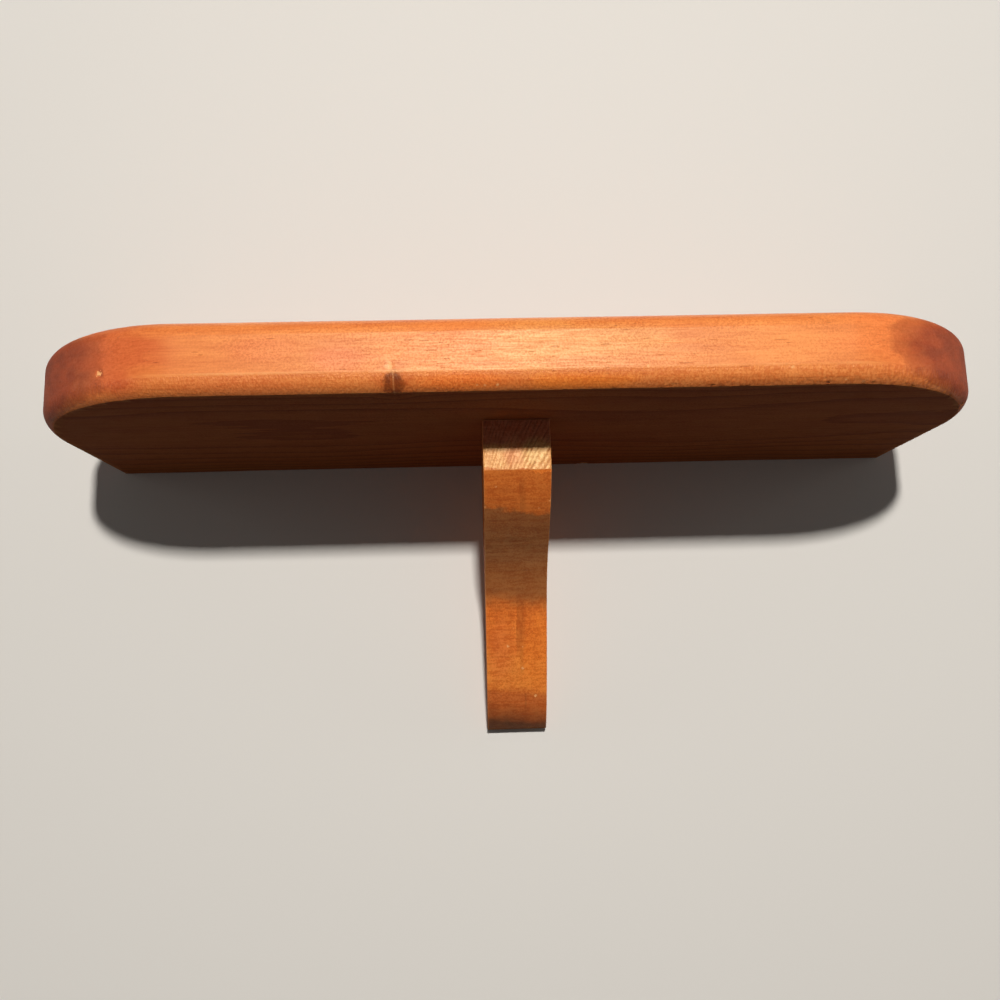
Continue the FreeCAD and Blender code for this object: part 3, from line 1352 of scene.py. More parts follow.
@dataclass
class ShelfBoard:
    """The board: square at the wall, round front corners, rounded over along its front and sides.

    The lower reach is the angle in degrees that the lower rounding turns through.
    """

    fixings: Fixings
    low: Vector = field(init=False)
    high: Vector = field(init=False)
    corner_radius: float = 46.0 * MM
    roundover: float = 4.5 * MM
    lower_reach: float = 63.0
    shoulder: float = 0.1 * MM
    shoulder_run: float = 0.35 * MM
    back_arris: float = 0.35 * MM
    sanding: float = 0.05 * MM
    fuzz_depth: float = 0.34 * MM
    front_ends: tuple[float, float] = (60.0 * MM, 75.0 * MM)
    straight_ends: tuple[float, float] = (80.0 * MM, 95.0 * MM)
    fuzz_coarsens: tuple[float, float] = (0.0, 70.0 * MM)
    ridge_rise: float = 0.1 * MM
    ridge_width: float = 0.5 * MM
    ridge_weakens: tuple[float, float] = (-10.0 * MM, 30.0 * MM)
    corner_segments: int = 140
    roundover_segments: int = 16
    rim_step: float = 0.48 * MM
    flat_step: float = 2.2 * MM

    def __post_init__(self) -> None:
        """Take the board's box from the frame."""
        self.low, self.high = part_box("shelf_board")

    def build(self) -> bpy.types.Object:
        """Model the board and dress it.

        Returns:
            The board.
        """
        bm = block(self.low, self.high)
        corners = [edge for edge in bm.edges if runs_along(edge, 2) and both_at(edge, 1, self.low.y)]
        round_edges(bm, corners, self.corner_radius, self.corner_segments)
        rims = [
            edge
            for edge in bm.edges
            if (both_at(edge, 2, self.low.z) or both_at(edge, 2, self.high.z))
            and not both_at(edge, 1, self.high.y)
        ]
        round_edges(bm, rims, self.roundover, self.roundover_segments)
        self.shallow_lower_edge(bm)
        back = [edge for edge in bm.edges if both_at(edge, 1, self.high.y)]
        round_edges(bm, back, self.back_arris, 3)
        self.divide(bm)
        board = as_object(bm, "board")
        setbacks = (self.fixings.rear_setback, self.fixings.front_setback)
        carve(board, [self.fixings.long_hole(setback, self.high.z) for setback in setbacks])
        work_surface(board, self.relief)
        dress(board, BOARD_PINE.make(), "shelf_board", sharp_from=24.0)
        return board

    def shallow_lower_edge(self, bm: bmesh.types.BMesh) -> None:
        """Stop the lower rounding short of level, so that it meets the underside in a soft arris.

        Args:
            bm: The board's mesh, while the underside is still one face.
        """
        steepest = math.sin(math.radians(self.lower_reach))
        radius = self.roundover / steepest
        middle = (self.low.x + self.high.x) / 2
        half = (self.high.x - self.low.x) / 2 - self.corner_radius
        for vert in bm.verts:
            drop = (self.low.z + self.roundover - vert.co.z) / self.roundover
            if drop <= 0.001:
                continue
            drop = min(1.0, drop)
            setback = self.roundover * (1 - math.sqrt(1 - drop**2))
            wanted = radius * (1 - math.sqrt(1 - (drop * steepest) ** 2))
            side = vert.co.x - middle
            over = math.copysign(max(0.0, abs(side) - half), side)
            back = min(0.0, vert.co.y - self.low.y - self.corner_radius)
            out = Vector((over, 0, 0)) if back == 0.0 else Vector((over, back, 0))
            vert.co += out.normalized() * (setback - wanted)

    def divide(self, bm: bmesh.types.BMesh) -> None:
        """Divide the rim finely and the flats coarsely.

        Args:
            bm: The board's mesh.
        """
        lower, upper = self.low.z + self.roundover, self.high.z - self.roundover
        places = [lower + self.shoulder_run / 2, *steps_between(lower, upper, self.rim_step)]
        slice_faces(bm, self.upright, 2, [*places, upper - self.shoulder_run / 2])
        level = [edge for edge in bm.edges if runs_along(edge, 0) or runs_along(edge, 1)]
        divide_long(bm, [edge for edge in level if not both_at(edge, 1, self.high.y)], self.rim_step)
        slice_faces(bm, self.wide_and_level, 0, steps_between(self.low.x, self.high.x, self.flat_step))
        slice_faces(bm, self.wide_and_level, 1, steps_between(self.low.y, self.high.y, self.flat_step))

    @staticmethod
    def upright(face: bmesh.types.BMFace) -> bool:
        """Tell whether a face belongs to the straight part of the rim."""
        return abs(face.normal.z) < 0.01

    def wide_and_level(self, face: bmesh.types.BMFace) -> bool:
        """Tell whether a face is part of the top or the underside and still too big."""
        return abs(face.normal.z) > 0.999 and face.calc_area() > (2 * self.rim_step) ** 2

    def relief(self, point: Vector, normal: Vector) -> tuple[float, dict[Mark, float]]:
        """Sanding waves, the cutter's shoulders, a fuzzy lower edge, and nicks.

        Args:
            point: A point of the surface.
            normal: Its normal, which is not used.

        Returns:
            How deep it is pressed in, and its marks.
        """
        depth = self.sanding * (1 + BOARD_SANDING.at(point))
        front = 1.0 - smooth_step(*self.front_ends, point.y - self.low.y)
        straight = 1.0 - smooth_step(*self.straight_ends, abs(point.x))
        lower, upper = self.low.z + self.roundover, self.high.z - self.roundover
        past = max(lower - point.z, point.z - upper)
        depth += self.shoulder * smooth_step(0.0, self.shoulder_run, past) * straight
        below = smooth_step(self.low.z + 0.7 * self.roundover, self.low.z + 0.1 * self.roundover, point.z)
        fuzz = max(0.0, LOOSE_FIBRES.at(point) - 0.2)
        right = smooth_step(*self.fuzz_coarsens, point.x, least=0.4)
        depth += self.fuzz_depth * fuzz * below * front * right
        ridge = 1.0 - smooth_step(0.0, self.ridge_width, abs(point.z - lower - self.ridge_rise))
        ridge *= 0.45 + 0.35 * (1.0 - smooth_step(*self.ridge_weakens, point.x))
        broken = smooth_step(-0.25, 0.25, RIDGE_BREAKS.at(point), least=0.35)
        return depth + nick_depth(point, BOARD_NICKS), {Mark.WORN: ridge * broken * straight}


@dataclass
class ScrollBracket:
    """The bracket: a square saw-marked nose, a scrolled front edge and a thin toe at the wall."""

    fixings: Fixings
    low: Vector = field(init=False)
    high: Vector = field(init=False)
    nose_height: float = 13.6 * MM
    toe_depth: float = 4.0 * MM
    belly_pull_shares: tuple[float, float] = (0.27, 0.31)
    knee_shares: tuple[float, float] = (0.64, 0.54)
    knee_lean_shares: tuple[float, float] = (0.2, 0.36)
    shin_pull_share: float = 0.75
    toe_pull_shares: tuple[float, float] = (0.09, 0.03)
    arris: float = 0.32 * MM
    fine_step: float = 0.21 * MM
    side_step: float = 1.6 * MM
    blade_radius: float = 143.0 * MM
    blade_aside: float = 130.0 * MM
    blade_feed: float = 2.6 * MM
    blade_jitter_shares: tuple[float, float] = (0.55, 0.22)
    kerf_depth: float = 0.13 * MM
    kerf_deepens: tuple[float, float] = (-2.5 * MM, 4.0 * MM)
    side_sanding: float = 0.03 * MM
    front_sanding: float = 0.025 * MM

    def __post_init__(self) -> None:
        """Take the bracket's box from the frame."""
        self.low, self.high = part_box("bracket")

    def build(self) -> bpy.types.Object:
        """Model the bracket and dress it.

        Returns:
            The bracket.
        """
        bracket = as_object(self.blank(), "scroll_bracket")
        carve(bracket, self.rooms())
        work_surface(bracket, self.relief)
        dress(bracket, BRACKET_PINE.make(), "bracket")
        return bracket

    def scroll_point(self, run_share: float, drop_share: float) -> Vector:
        """A point of the front, from its shares of the run and the drop between nose and toe.

        Args:
            run_share: Its share of the run.
            drop_share: Its share of the drop.

        Returns:
            The point.
        """
        run = -self.toe_depth - self.low.y
        start = self.high.z - self.nose_height
        return Vector((self.low.x, self.low.y + run * run_share, start - (start - self.low.z) * drop_share))

    def outline(self) -> list[Vector]:
        """The side view's outline, from the nose's top round to the wall and back.

        Returns:
            Its points, in order.
        """
        knee_run, knee_drop = self.knee_shares
        lean_run, lean_drop = self.knee_lean_shares
        pull_run, pull_drop = self.toe_pull_shares
        shin = self.shin_pull_share
        nose = self.scroll_point(0, 0)
        knee = self.scroll_point(knee_run, knee_drop)
        toe = self.scroll_point(1, 1)
        into_knee = self.scroll_point(knee_run - lean_run, knee_drop - lean_drop)
        past_knee = self.scroll_point(knee_run + lean_run * shin, knee_drop + lean_drop * shin)
        before_toe = self.scroll_point(1 - pull_run, 1 - pull_drop)
        top = Vector((self.low.x, self.low.y, self.high.z))
        heel = Vector((self.low.x, self.high.y, self.low.z))
        head = Vector((self.low.x, self.high.y, self.high.z))
        points = self.straight(top, nose, self.fine_step)
        points += self.curved(nose, self.scroll_point(*self.belly_pull_shares), into_knee, knee)
        points += self.curved(knee, past_knee, before_toe, toe)
        points += self.straight(toe, heel, 2 * self.fine_step)
        points += self.straight(heel, head, self.side_step)
        points += self.straight(head, top, self.side_step)
        return points

    @staticmethod
    def straight(start: Vector, end: Vector, spacing: float) -> list[Vector]:
        """Points along a line.

        Args:
            start: Its start.
            end: Its end, which isn't among the points.
            spacing: How far apart they are, about.

        Returns:
            The points.
        """
        count = max(1, round((end - start).length / spacing))
        return [start.lerp(end, index / count) for index in range(count)]

    def curved(self, start: Vector, pull: Vector, back_pull: Vector, end: Vector) -> list[Vector]:
        """Points along a curve.

        Args:
            start: Its start.
            pull: The handle that it leaves the start towards.
            back_pull: The handle that it reaches the end from.
            end: Its end, which isn't among the points.

        Returns:
            The points.
        """
        rough = interpolate_bezier(start, pull, back_pull, end, 64)
        length = sum((b - a).length for a, b in zip(rough, rough[1:]))
        return list(interpolate_bezier(start, pull, back_pull, end, round(length / self.fine_step)))[:-1]

    def blank(self) -> bmesh.types.BMesh:
        """The bracket's solid, with softened arrises and a finely divided front.

        Returns:
            The solid.
        """
        bm = bmesh.new()
        verts = [bm.verts.new(point) for point in self.outline()]
        side = bm.faces.new(verts)
        grown = bmesh.ops.extrude_face_region(bm, geom=[side])["geom"]
        moved = [item for item in grown if isinstance(item, bmesh.types.BMVert)]
        bmesh.ops.translate(bm, vec=(self.high.x - self.low.x, 0, 0), verts=moved)
        bmesh.ops.recalc_face_normals(bm, faces=bm.faces)
        arrises = [edge for edge in bm.edges if not runs_along(edge, 0)]
        round_edges(bm, arrises, self.arris, 3)
        front = [
            edge
            for edge in bm.edges
            if runs_along(edge, 0)
            and edge.calc_length() > 5 * self.arris
            and not both_at(edge, 1, self.high.y)
            and not both_at(edge, 2, self.high.z)
        ]
        divide_long(bm, front, self.fine_step)
        slice_faces(bm, self.wide_and_sideways, 2, steps_between(self.low.z, self.high.z, self.side_step))
        slice_faces(bm, self.wide_and_sideways, 1, steps_between(self.low.y, self.high.y, self.side_step))
        return bm

    def wide_and_sideways(self, face: bmesh.types.BMFace) -> bool:
        """Tell whether a face is part of a side and still too big."""
        return abs(face.normal.x) > 0.999 and face.calc_area() > (2 * self.fine_step) ** 2

    def rooms(self) -> list[bmesh.types.BMesh]:
        """The solids that the fixings take out of the bracket.

        Returns:
            The solids.
        """
        fixings = self.fixings
        plate_low, plate_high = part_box("keyhole_plate")
        play = Vector((fixings.plate_play, 0, fixings.plate_play))
        recess = stadium(plate_low - play, plate_high + play + Vector((0, fixings.overrun, 0)))
        radius = fixings.pocket_radius
        pocket = stadium(
            Vector((-radius, plate_low.y - fixings.pocket_depth, -radius)),
            Vector((radius, plate_low.y + 0.2 * MM, fixings.seat_rise + radius)),
        )
        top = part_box("shelf_board")[1].z
        setbacks = (fixings.rear_setback, fixings.front_setback)
        rooms = [recess, pocket]
        rooms += [fixings.long_hole(setback, top) for setback in setbacks]
        rooms += [fixings.short_hole(height) for height in fixings.short_screw_heights()]
        return rooms

    def relief(self, point: Vector, normal: Vector) -> tuple[float, dict[Mark, float]]:
        """Saw marks on the nose, fine cutting lines down the scroll, sanding waves on the sides.

        Args:
            point: A point of the surface.
            normal: Its normal.

        Returns:
            How deep it is pressed in, and its marks.
        """
        if point.y < self.low.y + 0.05 * MM and point.z > self.high.z - self.nose_height - 0.2 * MM:
            return self.nose_relief(point)
        if abs(normal.x) > 0.9:
            return self.side_sanding * (1 + SIDE_SANDING.at(point)), {}
        if point.y > self.high.y - 0.01 * MM or normal.y > -0.2 or abs(normal.x) > 0.5:
            return 0.0, {}
        lines = FINE_CUTS.at(point) + COARSE_CUTS.at(point) / 2
        left = 1.0 - smooth_step(-1 * MM, 2 * MM, point.x)
        kerf = (0.08 + 0.2 * left) * smooth_step(0.05, 0.5, lines)
        return self.front_sanding * (1 + lines) + nick_depth(point, BRACKET_NICKS), {Mark.KERF: kerf}

    def nose_relief(self, point: Vector) -> tuple[float, dict[Mark, float]]:
        """The slanting marks of a circular saw, broader and deeper on the right.

        Args:
            point: A point of the nose.

        Returns:
            How deep it is pressed in, and its marks.
        """
        across = point.x - self.blade_aside
        phase = (point.z - math.sqrt(self.blade_radius**2 - across**2)) / self.blade_feed
        slow, quick = self.blade_jitter_shares
        jitter = slow * noise.noise(Vector((phase * 0.7, point.x / (12 * MM), 0.3)))
        jitter += quick * noise.noise(Vector((phase * 2.1, point.x / (6 * MM), 5.1)))
        wave = 0.5 + 0.5 * math.sin(FULL_TURN * (phase + jitter))
        fine = 0.5 + 0.5 * noise.noise(Vector((phase * 4.6, point.x / (7 * MM), 7.7)))
        gaps = noise.noise(Vector((phase, point.z / (3 * MM), 2.2)))
        broken = smooth_step(-0.35, 0.25, gaps, least=0.45)
        groove = smooth_step(0.5, 0.92, 0.7 * wave + 0.4 * fine) * broken
        strength = smooth_step(*self.kerf_deepens, point.x, least=0.75)
        return self.kerf_depth * groove * strength, {Mark.KERF: groove * strength}


@dataclass
class ScrewPlugs:
    """The two plugs that cover the long screws in the board's top."""

    fixings: Fixings
    rim: float = 0.22 * MM
    dish: float = 0.04 * MM
    segments: int = 64

    def build(self) -> bpy.types.Object:
        """Model both plugs as one piece and dress it.

        Returns:
            The piece.
        """
        low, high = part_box("screw_plugs")
        radius = self.fixings.plug_radius - self.fixings.plug_play
        bm = bmesh.new()
        for setback in (self.fixings.rear_setback, self.fixings.front_setback):
            middle = Vector((0, -setback, (low.z + high.z) / 2))
            bmesh.ops.create_cone(
                bm,
                cap_ends=True,
                segments=self.segments,
                radius1=radius,
                radius2=radius,
                depth=high.z - low.z,
                matrix=Matrix.Translation(middle),
            )
        rims = [edge for edge in bm.edges if both_at(edge, 2, low.z) or both_at(edge, 2, high.z)]
        round_edges(bm, rims, self.rim, 3)
        caps = [face for face in bm.faces if face.normal.z > 0.9 and face.calc_area() > radius**2]
        bmesh.ops.inset_region(bm, faces=caps, thickness=0.6 * radius, depth=-self.dish)
        plugs = as_object(bm, "plugs")
        work_surface(plugs, self.relief)
        dress(plugs, PLUG_PINE.make(), "screw_plugs")
        return plugs

    @staticmethod
    def relief(point: Vector, normal: Vector) -> tuple[float, dict[Mark, float]]:
        """No relief: the plugs are sanded flush."""
        return 0.0, {}


@dataclass
class KeyholePlate:
    """The stamped plate that the shelf hangs from."""

    fixings: Fixings
    rim: float = 0.2 * MM
    entry_segments: int = 56

    def build(self) -> bpy.types.Object:
        """Model the plate and dress it.

        Returns:
            The plate.
        """
        low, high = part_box("keyhole_plate")
        fixings = self.fixings
        plate = as_object(stadium(low, high), "hanging_plate")
        past = Vector((0, fixings.overrun, 0))
        half = fixings.slot_width / 2
        slot_low = Vector((-half, low.y, -half)) - past
        slot_high = Vector((half, high.y, fixings.seat_rise + half)) + past
        radius, near, far = fixings.entry_radius, -fixings.overrun, 3 * fixings.overrun
        outline = [(0.0, near), (radius, near), (radius, far), (0.0, far)]
        entry = turned(outline, Vector((0, 0, 0)), Vector((0, -1, 0)), self.entry_segments)
        holes = [fixings.short_hole(height) for height in fixings.short_screw_heights()]
        carve(plate, [entry, stadium(slot_low, slot_high), *holes])
        rolled = plate.modifiers.new("rolled_rim", "BEVEL")
        rolled.width = self.rim
        rolled.segments = 2
        rolled.limit_method = "ANGLE"
        rolled.angle_limit = math.radians(50)
        dress(plate, PLATE_STEEL.make(), "keyhole_plate")
        return plate


BOARD_NICKS = (
    Nick((-100.1, -85.3, 41.2), 0.95, 0.12, 1.0),
    Nick((-30.8, -89.0, 40.7), 1.1, 0.08, 0.7),
    Nick((-5.4, -87.5, 35.9), 0.5, 0.12, 0.8),
    Nick((-8.5, -87.5, 36.0), 0.4, 0.1, 0.5),
    Nick((-10.4, -87.6, 36.0), 0.35, 0.1, 0.5),
    Nick((30.3, -89.0, 39.3), 0.42, 0.05, 0.6),
    Nick((64.9, -88.9, 38.6), 0.5, 0.08, 0.7),
    Nick((82.6, -88.7, 37.6), 0.34, 0.08, 0.8),
    Nick((78.1, -87.3, 35.7), 0.38, 0.08, 0.75),
    Nick((82.4, -86.8, 35.4), 0.55, 0.08, 0.5),
    Nick((118.8, -63.8, 35.1), 1.6, 0.5, -0.9),
    Nick((74.0, -86.6, 35.2), 0.7, 0.25, -0.75),
    Nick((85.0, -86.2, 35.2), 0.6, 0.2, -0.6),
    Nick((46.0, -86.4, 35.1), 0.6, 0.2, -0.6),
    Nick((62.0, -40.0, 53.5), 2.6, 0.22, 0.0),
    Nick((-74.0, -22.0, 53.5), 1.8, 0.18, -0.3),
    Nick((25.0, -1.0, 35.0), 1.6, 0.4, 0.6),
)
BRACKET_NICKS = (
    Nick((-2.65, -20.8, -24.5), 0.5, 0.03, 1.0),
    Nick((1.7, -20.7, -24.9), 0.34, 0.03, 0.7),
    Nick((-1.0, -22.9, -19.1), 0.34, 0.03, 0.6),
    Nick((3.1, -22.3, -21.5), 0.3, 0.03, 0.7),
    Nick((1.7, -17.6, -31.1), 0.5, 0.03, 0.8),
    Nick((5.6, -13.0, -39.5), 0.6, 0.03, 1.0),
    Nick((-5.8, -56.6, 17.1), 0.36, 0.05, 0.5),
    Nick((5.9, -52.0, 11.9), 0.3, 0.05, 0.7),
    Nick((8.9, -53.6, 13.6), 0.5, 0.1, 0.6),
    Nick((-8.9, -52.6, 12.4), 0.5, 0.1, 0.5),
)
BOARD_FLECKS = tuple(
    Fleck(*fleck)
    for fleck in (
        (-76.5, 44.8, 0.9), (-75.2, 44.1, 0.7), (-59.0, 47.8, 1.4), (-38.5, 47.1, 1.0),
        (-26.4, 46.9, 1.5), (-22.6, 46.7, 1.1), (-21.1, 44.3, 1.5), (-17.4, 42.1, 0.9),
        (-10.1, 43.9, 1.3), (-1.9, 47.2, 1.0), (2.6, 43.5, 1.0), (8.4, 44.7, 1.1),
        (7.9, 42.2, 0.6), (20.5, 45.0, 1.5), (30.5, 46.3, 1.0), (33.5, 42.1, 1.3),
        (20.9, 40.5, 0.9), (39.1, 40.0, 2.2), (62.6, 45.4, 1.9), (64.4, 44.6, 0.8),
        (53.4, 38.9, 1.9),
    )
)

BOARD_PINE = StainedPine(
    name="board_stained_pine",
    grain=Grain.ALONG_SHELF,
    pith=(0.0, -52.0, -14.0),
    ring_pitch=3.3,
    ring_depth=0.22,
    end_lean=0.08,
    end_from=0.2,
    end_to=0.56,
    end_line=0.285,
    end_bow=0.02,
    fuzzy_below=39.2,
    # Painted shade darkens the board's underside.
    painted_shade_below=0.46,
    knots=(
        Knot((-30.1, -87.6, 36.7), (2.8, 4.2, 3.5)),
        Knot((64.0, -27.0, 54.0), (4.6, 3.4, 9.0)),
    ),
    patches=(
        Patch((-43.0, -89.0, 43.2), (10.0, 5.0, 5.0), (0.84, 0.19, 0.065), 0.6),
        Patch((-62.0, -89.0, 45.0), (12.0, 5.0, 4.0), (0.84, 0.2, 0.06), 0.4),
        Patch((-12.0, -88.0, 36.6), (18.0, 5.0, 2.4), (0.98, 0.21, 0.028), 0.6),
        Patch((14.0, -88.0, 36.4), (16.0, 5.0, 2.6), (1.0, 0.25, 0.026), 0.65),
        Patch((-70.0, -87.0, 37.0), (28.0, 6.0, 3.4), (0.74, 0.17, 0.045), 0.5),
        Patch((-16.0, -89.0, 46.0), (16.0, 5.0, 9.0), (0.84, 0.215, 0.042), 0.45),
        Patch((15.0, -89.0, 46.0), (30.0, 5.0, 9.0), (0.8, 0.3, 0.066), 0.6),
        Patch((62.0, -89.0, 46.0), (30.0, 5.0, 9.0), (0.98, 0.32, 0.08), 0.5),
        Patch((-95.0, -86.0, 38.0), (3.6, 5.0, 1.4), (0.46, 0.09, 0.02), 0.6),
        Patch((-97.0, -84.0, 45.0), (23.0, 22.0, 13.0), (0.67, 0.125, 0.033), 0.85),
        Patch((94.0, -84.0, 45.0), (26.0, 22.0, 13.0), (0.94, 0.235, 0.06), 0.6),
    ),
    flecks=BOARD_FLECKS,
    nicks=BOARD_NICKS,
)
BRACKET_PINE = StainedPine(
    name="bracket_stained_pine",
    grain=Grain.UPRIGHT,
    pith=(-46.0, -20.0, 0.0),
    ring_pitch=3.4,
    ring_depth=0.2,
    pale=(0.9, 0.225, 0.032),
    deep=(0.66, 0.14, 0.02),
    cross_lines=0.8,
    end=(0.4, 0.13, 0.035),
    end_from=0.7,
    end_to=0.98,
    end_line=0.93,
    bands=(
        # The nose's sawn face: slightly paler wood, made paler and yellower still by a painted highlight.
        Band(21.1, 60.0, 0.1, 1.0, (0.88, 0.45, 0.16), 0.9, 0.0, 0.0),
        # Painted shade: the top of the bracket's nose is darkened where the board's shadow falls on it.
        Band(28.0, 60.0, 1.4, 1.0, (0.56, 0.125, 0.075), 0.8, 0.3, 0.0),
        Band(11.4, 21.1, 1.6, 0.1, (0.68, 0.168, 0.026), 0.85),
        Band(-12.0, 11.4, 7.0, 1.4, (0.33, 0.11, 0.03), 0.93),
        Band(-1.0, 6.2, 2.6, 2.0, (0.44, 0.165, 0.052), 0.75),
        Band(-38.0, -27.0, 4.0, 4.0, (1.0, 0.31, 0.05), 0.7),
        Band(-80.0, -38.0, 1.0, 3.0, (0.6, 0.14, 0.03), 0.75),
        Band(-80.0, -43.4, 1.0, 5.0, (0.36, 0.088, 0.02), 0.85),
        Band(-80.0, -47.0, 1.0, 3.6, (0.12, 0.036, 0.012), 0.95),
    ),
    patches=(
        Patch((-0.35, -22.0, -19.0), (0.45, 40.0, 9.0), (0.95, 0.28, 0.05), 0.4),
        Patch((5.8, -20.0, -27.0), (5.6, 40.0, 14.0), (0.98, 0.25, 0.03), 0.6),
        Patch((-5.0, -22.0, -27.0), (5.4, 40.0, 15.0), (0.84, 0.2, 0.042), 0.5),
        # Partly painted highlight: the nose's face paler, pinker on the left and yellower on the right.
        Patch((-0.8, -59.6, 25.8), (3.0, 2.0, 4.6), (0.84, 0.3, 0.12), 0.6),
        Patch((5.4, -59.6, 25.8), (4.6, 2.0, 4.6), (0.84, 0.5, 0.18), 0.6),
    ),
    nicks=BRACKET_NICKS,
    streaks=(
        Streak(0.0, 3.4, -29.0, -6.0, 0.4),
        Streak(0.5, 2.2, 8.0, 20.5, 0.3),
        Streak(1.0, 1.5, -34.0, -24.0, 0.25),
        Streak(2.2, 0.9, -44.0, -38.0, 0.35),
    ),
    seed=5.0,
)
PLUG_PINE = StainedPine(
    name="plug_stained_pine",
    grain=Grain.ALONG_SHELF,
    pith=(0.0, -30.0, 90.0),
    ring_pitch=1.7,
    pale=(0.72, 0.18, 0.03),
    deep=(0.48, 0.095, 0.016),
    seed=2.0,
)
PLATE_STEEL = PlatedSteel(name="zinc_plate")
SCREW_STEEL = PlatedSteel(name="screw_steel", colour=(0.62, 0.61, 0.58), roughness=0.26)


@dataclass(frozen=True)
class Lamp:
    """A square soft lamp, so many degrees to the right of the shelf's front and so many above level."""

    name: str
    right: float
    rise: float
    power: float
    size: float
    colour: Colour = (1.0, 0.95, 0.88)
    distance: float = 2.0
    through_sheet: bool = False

    def hang(self, aim: Vector, sheet: bpy.types.Object) -> None:
        """Hang the lamp so that it faces a point.

        Args:
            aim: The point.
            sheet: The sheet, which doesn't shade a lamp that shines through it.
        """
        side, up = math.radians(self.right), math.radians(self.rise)
        out = Vector((math.sin(side) * math.cos(up), -math.cos(side) * math.cos(up), math.sin(up)))
        data = bpy.data.lights.new(self.name, "AREA")
        data.energy = self.power
        data.size = self.size
        data.color = self.colour
        lamp = bpy.data.objects.new(self.name, data)
        turn = (-out).to_track_quat("-Z", "Y").to_matrix().to_4x4()
        lamp.matrix_world = Matrix.Translation(aim + out * self.distance) @ turn
        bpy.context.scene.collection.objects.link(lamp)
        if self.through_sheet:
            unshaded = bpy.data.collections.new("unshaded_by")
            unshaded.objects.link(sheet)
            unshaded.collection_objects[0].light_linking.link_state = "EXCLUDE"
            lamp.light_linking.blocker_collection = unshaded


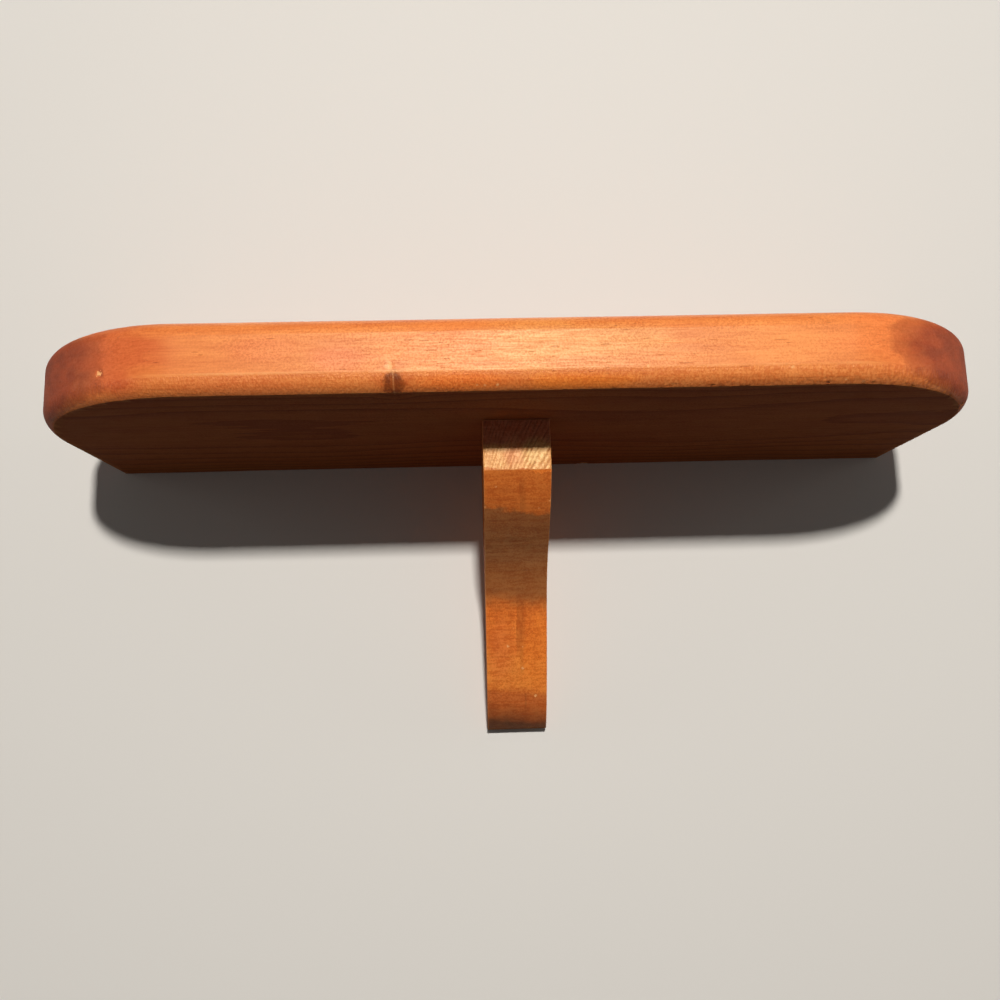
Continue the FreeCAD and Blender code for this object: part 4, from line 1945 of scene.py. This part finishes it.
@dataclass
class Setting:
    """The camera, the pale sheet that the shelf lies on, and the lamps."""

    camera_at: Place = (-0.0114, -0.2953, -0.02785)
    image_right: Place = (0.99938, -0.023, -0.02666)
    image_down: Place = (-0.02233, 0.17145, -0.98494)
    forward: Place = (0.02722, 0.98492, 0.17083)
    lens: float = 32.76
    sensor: float = 36.0
    seen_from: float = 0.01
    seen_to: float = 50.0
    sheet_size: float = 6.0
    sheet_before_back: float = 0.5 * MM
    sheet_roughness: float = 0.9
    sheet_gloss: float = 0.1
    sheet_colour: Colour = (0.8, 0.79, 0.77)
    sheet_bounce: Colour = (0.13, 0.13, 0.13)
    aim: Place = (0.0, -0.05, 0.02)
    sheet_fades: tuple[float, float] = (230.0, 500.0)
    world_colour: Colour = (0.93, 0.89, 0.84)
    fill: float = 0.06
    background: float = 0.88
    seen_in_gloss: float = 0.3
    lamps: tuple[Lamp, ...] = (
        Lamp("key", 2.1, 17.9, 9.6, 0.055, distance=1.02),
        Lamp("left_side", -88.0, 8.0, 7.0, 1.2),
        Lamp("right_side", 88.0, 8.0, 7.6, 1.2),
        Lamp("rear", 180.0, 10.0, 21.0, 0.8),
        Lamp("above", 180.0, 58.0, 7.5, 1.6, through_sheet=True),
    )

    def build(self) -> None:
        """Make the camera, the sheet, the lamps and the world."""
        self.make_camera()
        sheet = self.make_sheet()
        for lamp in self.lamps:
            lamp.hang(Vector(self.aim), sheet)
        self.make_world()
        bpy.context.scene.view_settings.view_transform = "Standard"

    def make_camera(self) -> None:
        """Stand the camera where the photograph was taken from."""
        data = bpy.data.cameras.new("camera")
        data.lens = self.lens
        data.sensor_width = self.sensor
        data.clip_start = self.seen_from
        data.clip_end = self.seen_to
        camera = bpy.data.objects.new("camera", data)
        axes = (Vector(self.image_right), -Vector(self.image_down), -Vector(self.forward))
        turn = Matrix(axes).transposed().to_4x4()
        camera.matrix_world = Matrix.Translation(Vector(self.camera_at)) @ turn
        bpy.context.scene.collection.objects.link(camera)
        bpy.context.scene.camera = camera

    def make_sheet(self) -> bpy.types.Object:
        """Lay the pale sheet in the wall's plane, seen and lit from its front only.

        Returns:
            The sheet.
        """
        bm = bmesh.new()
        bmesh.ops.create_grid(bm, x_segments=1, y_segments=1, size=self.sheet_size / 2)
        bmesh.ops.rotate(bm, cent=(0, 0, 0), matrix=Matrix.Rotation(math.pi / 2, 3, "X"), verts=bm.verts)
        bmesh.ops.translate(bm, vec=(0, -self.sheet_before_back, 0), verts=bm.verts)
        sheet = as_object(bm, "pale_floor")
        g = Graph("pale_sheet")
        path = g.node("ShaderNodeLightPath")
        gloss = g.product(path.outputs["Is Glossy Ray"], self.seen_in_gloss)
        seen = g.total(path.outputs["Is Camera Ray"], path.outputs["Is Transmission Ray"], gloss)
        g.finish(g.mix(seen, self.sheet_bounce, self.sheet_colour), self.sheet_roughness)
        g.surface.inputs["Specular IOR Level"].default_value = self.sheet_gloss
        away = g.step(g.vector_math("LENGTH", g.point), *self.sheet_fades)
        distant = g.node("ShaderNodeEmission")
        g.feed(distant.inputs["Color"], self.world_colour)
        g.feed(distant.inputs["Strength"], g.product(seen, self.background))
        fading = g.mix_surfaces(away, g.surface.outputs[0], distant.outputs[0])
        clear = g.node("ShaderNodeBsdfTransparent")
        geometry = g.node("ShaderNodeNewGeometry")
        whole = g.mix_surfaces(geometry.outputs["Backfacing"], fading, clear.outputs[0])
        g.feed(g.output.inputs["Surface"], whole)
        sheet.data.materials.append(g.material)
        return sheet

    def make_world(self) -> None:
        """Fill in softly from all round, with a pale background behind."""
        world = bpy.data.worlds.new("studio")
        world.use_nodes = True
        bpy.context.scene.world = world
        nodes, links = world.node_tree.nodes, world.node_tree.links
        background = nodes["Background"]
        background.inputs["Color"].default_value = (*self.world_colour, 1.0)
        path = nodes.new("ShaderNodeLightPath")
        gloss = nodes.new("ShaderNodeMath")
        gloss.operation = "MULTIPLY_ADD"
        gloss.inputs[1].default_value = self.seen_in_gloss
        seen = nodes.new("ShaderNodeMath")
        level = nodes.new("ShaderNodeMapRange")
        level.inputs["To Min"].default_value = self.fill
        level.inputs["To Max"].default_value = self.background
        links.new(path.outputs["Is Glossy Ray"], gloss.inputs[0])
        links.new(path.outputs["Is Camera Ray"], gloss.inputs[2])
        links.new(gloss.outputs[0], seen.inputs[0])
        links.new(path.outputs["Is Transmission Ray"], seen.inputs[1])
        links.new(seen.outputs[0], level.inputs["Value"])
        links.new(level.outputs[0], background.inputs["Strength"])


def dress_screws() -> None:
    """Give the screws, whose solids stay as they are, their steel."""
    steel = SCREW_STEEL.make()
    for node in ("bracket_screws", "plate_screws"):
        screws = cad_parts[node]
        for slot in screws.material_slots:
            slot.material = steel
        log.info("%s: %d faces", node, len(screws.data.polygons))


def main() -> None:
    """Build the shelf and its setting."""
    logging.basicConfig(level=logging.INFO)
    fixings = Fixings()
    ShelfBoard(fixings).build()
    ScrollBracket(fixings).build()
    ScrewPlugs(fixings).build()
    KeyholePlate(fixings).build()
    dress_screws()
    Setting().build()


if __name__ == "__main__":
    main()
